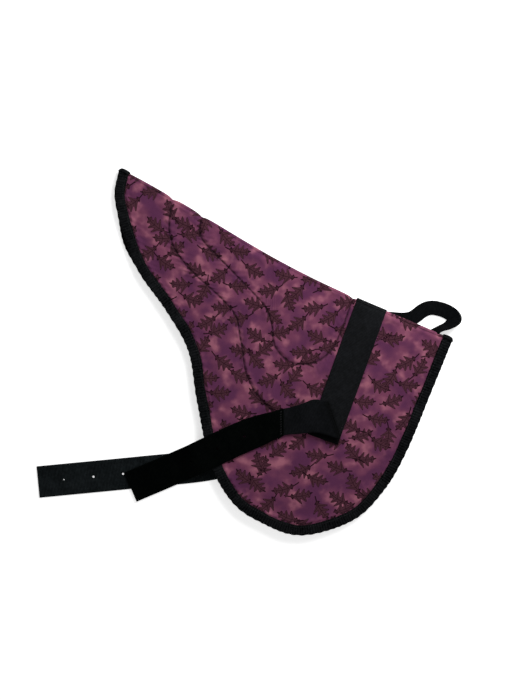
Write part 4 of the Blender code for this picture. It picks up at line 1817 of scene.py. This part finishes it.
@dataclass
class Quilting:
    """Rows of quilting and binding stitches on both faces of a half."""

    shape: PadShape
    half: QuiltedHalf
    finishes: dict
    pitch: float = 3.8 * MM
    thread: float = 0.7 * MM
    spine_gap: float = 6.0 * MM
    girth_gap: float = 1.0 * MM
    cover_stand: float = 0.15 * MM
    lining_stand: float = 0.7 * MM
    binding_inset: float = 3.0 * MM
    binding_gap: float = 1.0 * MM
    binding_stand: float = 0.2 * MM

    def row(self, name: str, plan: Array, out: Array, facing: int, thread: str, *nodes: str) -> None:
        """One row of stitches along a plan line at a distance from the fold plane.

        Args:
            name: The row's name, without the half's.
            plan: Plan points that it follows.
            out: Their distances from the fold plane.
            facing: 1 on the half's outside, -1 on its inside.
            thread: The thread's finish.
            nodes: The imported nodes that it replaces.
        """
        side = self.half.side
        line = self.shape.place(plan, self.half.layer_z(plan, out))
        rise = np.tile(UP * side.value * facing, (len(plan), 1))
        piece = stitch_row(f"{side.label}_{name}", line, rise, self.pitch, self.thread)
        dress(piece, self.finishes[thread], side.body, "quilting_thread", *nodes)

    def build(self) -> None:
        """Sews both quilted lines and the binding."""
        shape, side = self.shape, self.half.side
        girth = shape.girth_line(-shape.webbing_width / 2, 200)
        for name, points in (("inner", shape.inner_quilt), ("outer", shape.outer_quilt)):
            plan = shape.quilt(points, 500)
            rear = np.interp(-plan[:, 1], -girth[:, 1], girth[:, 0])
            clear = plan[:, 1] < shape.spine_y(plan[:, 0]) - self.spine_gap
            clear &= plan[:, 0] < rear - self.girth_gap
            plan = plan[: len(plan) - int(np.argmax(clear[::-1]))][int(np.argmax(clear)) :]
            out = self.half.cover_out(plan) + self.cover_stand
            node = f"{side.label}_{name}_quilting"
            self.row(f"{name}_quilt_stitches", plan, out, 1, "plum_thread", node)
            inside = shape.fold_out(plan, side) + self.lining_stand
            self.row(f"{name}_lining_stitches", plan, inside, -1, "black_thread")
        line = shape.edge(side, 900)
        plan = line + shape.inward(line) * (shape.binding_width - self.binding_inset)
        plan[:, 1] = np.minimum(plan[:, 1], shape.spine_y(plan[:, 0]) - self.binding_gap)
        out = np.full(len(plan), shape.edge_out + self.binding_stand)
        self.row("binding_stitches", plan, out, 1, "black_thread")


# Studio


@dataclass
class Studio:
    """Pale floor, soft light and the camera over the pad."""

    ambient: float = 0.25
    lift: float = 0.6
    floor_half: float = 6.0
    floor_z: float = -0.4 * MM
    floor_shade: tuple = (0.9, 0.9, 0.9, 1.0)
    key_place: tuple = (0.15, 0.9, 0.78)
    key_size: float = 0.6
    key_power: float = 13.5
    fill_place: tuple = (1.4, -0.4, 2.0)
    fill_size: float = 1.8
    fill_power: float = 6.0
    lens: float = 50.0
    sensor: float = 36.0
    view_centre: tuple = (-0.1207, -0.1337)
    view_height: float = 1.54
    view_turn: float = math.radians(27)

    def camera(self) -> None:
        """Looks straight down, turned so that the spine slopes as it does in the photograph."""
        data = bpy.data.cameras.new("overhead")
        data.lens = self.lens
        data.sensor_width = self.sensor
        camera = bpy.data.objects.new("overhead", data)
        camera.location = (*(PLAN_ORIGIN + self.view_centre), self.view_height)
        camera.rotation_euler = (0, 0, self.view_turn)
        bpy.context.scene.collection.objects.link(camera)
        bpy.context.scene.camera = camera

    def floor(self) -> None:
        """A wide pale floor that looks white to the camera and keeps the pad's shadow."""
        corners = np.array([[-1, -1], [1, -1], [1, 1], [-1, 1]]) * self.floor_half
        points = np.column_stack([corners, np.full(4, self.floor_z)])
        piece = new_piece("floor", points, [[0, 1, 2, 3]])
        finish = Finish("pale_floor")
        seen = finish.node("ShaderNodeLightPath", out="Is Camera Ray")
        path = seen.socket.node.outputs
        for kind in ("Is Glossy Ray", "Is Transmission Ray"):
            seen = seen.most(Wire(finish, path[kind]))
        glow = finish.blend((0.0, 0.0, 0.0, 1.0), (self.lift, self.lift, self.lift, 1.0), seen)
        finish.set(Base_Color=self.floor_shade, Roughness=0.9, Specular_IOR_Level=0.1)
        finish.set(Emission_Color=glow, Emission_Strength=1.0)
        piece.data.materials.append(finish.material)

    def lamp(self, name: str, place: tuple, size: float, power: float) -> None:
        """A square soft lamp aimed at the middle of the pad.

        Args:
            name: The lamp's name.
            place: Where it hangs.
            size: Length of its side.
            power: Its power in watts.
        """
        data = bpy.data.lights.new(name, "AREA")
        data.shape = "SQUARE"
        data.size = size
        data.energy = power
        lamp = bpy.data.objects.new(name, data)
        lamp.location = place
        x, y, z = place
        lamp.rotation_euler = (math.atan2(math.hypot(x, y), z), 0, math.atan2(-y, -x) - math.pi / 2)
        bpy.context.scene.collection.objects.link(lamp)

    def build(self) -> None:
        """Sets the camera, lights and floor."""
        scene = bpy.context.scene
        scene.view_settings.view_transform = "Standard"
        world = bpy.data.worlds.new("studio")
        world.use_nodes = True
        background = world.node_tree.nodes["Background"].inputs
        background["Color"].default_value = (1, 1, 1, 1)
        background["Strength"].default_value = self.ambient
        scene.world = world
        self.camera()
        self.floor()
        self.lamp("key", self.key_place, self.key_size, self.key_power)
        self.lamp("fill", self.fill_place, self.fill_size, self.fill_power)


def make_finishes() -> dict[str, bpy.types.Material]:
    """Builds every finish of the pad.

    Returns:
        Materials by the names that the pieces ask for.
    """
    webbing = (2.3 * MM, 1.9 * MM, 0.4 * MM, True)
    webbing_bend = (*webbing[:3], False)
    tape = (4.2 * MM, 2.8 * MM, 0.6 * MM, True)
    tape_bend = (*tape[:3], False)
    black, inky, grey = (4, 4, 5), (0, 1, 1), (31, 32, 34)
    plain = WovenBlack.gloss
    woven = {
        "webbing": ("black_webbing", (9, 10, 11), (29, 30, 33), webbing, plain),
        "lead": ("lead_webbing", (5, 6, 7), (20, 21, 24), webbing, plain),
        # The near billet's greenish black is its own; its extra darkness over the off billet is painted
        # shade for the dimmer low side of the pad
        "near_billet": ("near_billet_webbing", inky, (7, 9, 8), webbing, 0.005),
        "off_billet": ("off_billet_webbing", (6, 9, 10), (32, 37, 39), webbing, plain),
        "handle": ("handle_webbing", (4, 5, 6), (17, 18, 20), webbing, 0.02),
        "webbing_bend": ("black_webbing_bend", black, grey, webbing_bend, plain),
        "tape": ("binding_tape", inky, grey, tape, 0.01),
        "tape_bend": ("binding_tape_bend", inky, grey, tape_bend, 0.01),
    }
    finishes = {"cotton": PrintedCotton().build(), "fleece": BrushedFleece().build()}
    for key, (name, dark, worn, weave, gloss) in woven.items():
        finishes[key] = WovenBlack(name, ink(*dark), ink(*worn), *weave, gloss).build()
    finishes["plum_thread"] = SewingThread("plum_thread", ink(26, 9, 19), ink(48, 22, 36)).build()
    finishes["black_thread"] = SewingThread("black_thread", ink(5, 5, 6), ink(22, 22, 25)).build()
    return finishes


def write_sizes() -> None:
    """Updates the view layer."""
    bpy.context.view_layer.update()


def main() -> None:
    """Builds the studio and every piece of the pad in order."""
    logging.basicConfig(level=logging.INFO, format="%(name)s: %(message)s")
    Studio().build()
    finishes = make_finishes()
    shape = PadShape()
    halves = {side: QuiltedHalf(shape, side, finishes) for side in Side}
    swell = halves[Side.NEAR].settle()
    for side, half in halves.items():
        half.make_cover(swell)
        half.make_lining()
        half.make_binding()
        Quilting(shape, half, finishes).build()
        LOG.info("%s half built", side.label)
    Spine(shape, finishes).build()
    harness = Harness(shape, halves, finishes)
    for side in Side:
        harness.make_girth(side)
    harness.make_near_strap()
    harness.make_off_strap()
    harness.make_handle()
    for piece in bpy.context.scene.objects:
        if piece.type == "MESH" and not piece.hide_render:
            LOG.info("%s: %d faces", piece.name, len(piece.data.polygons))
    write_sizes()


if __name__ == "__main__":
    main()
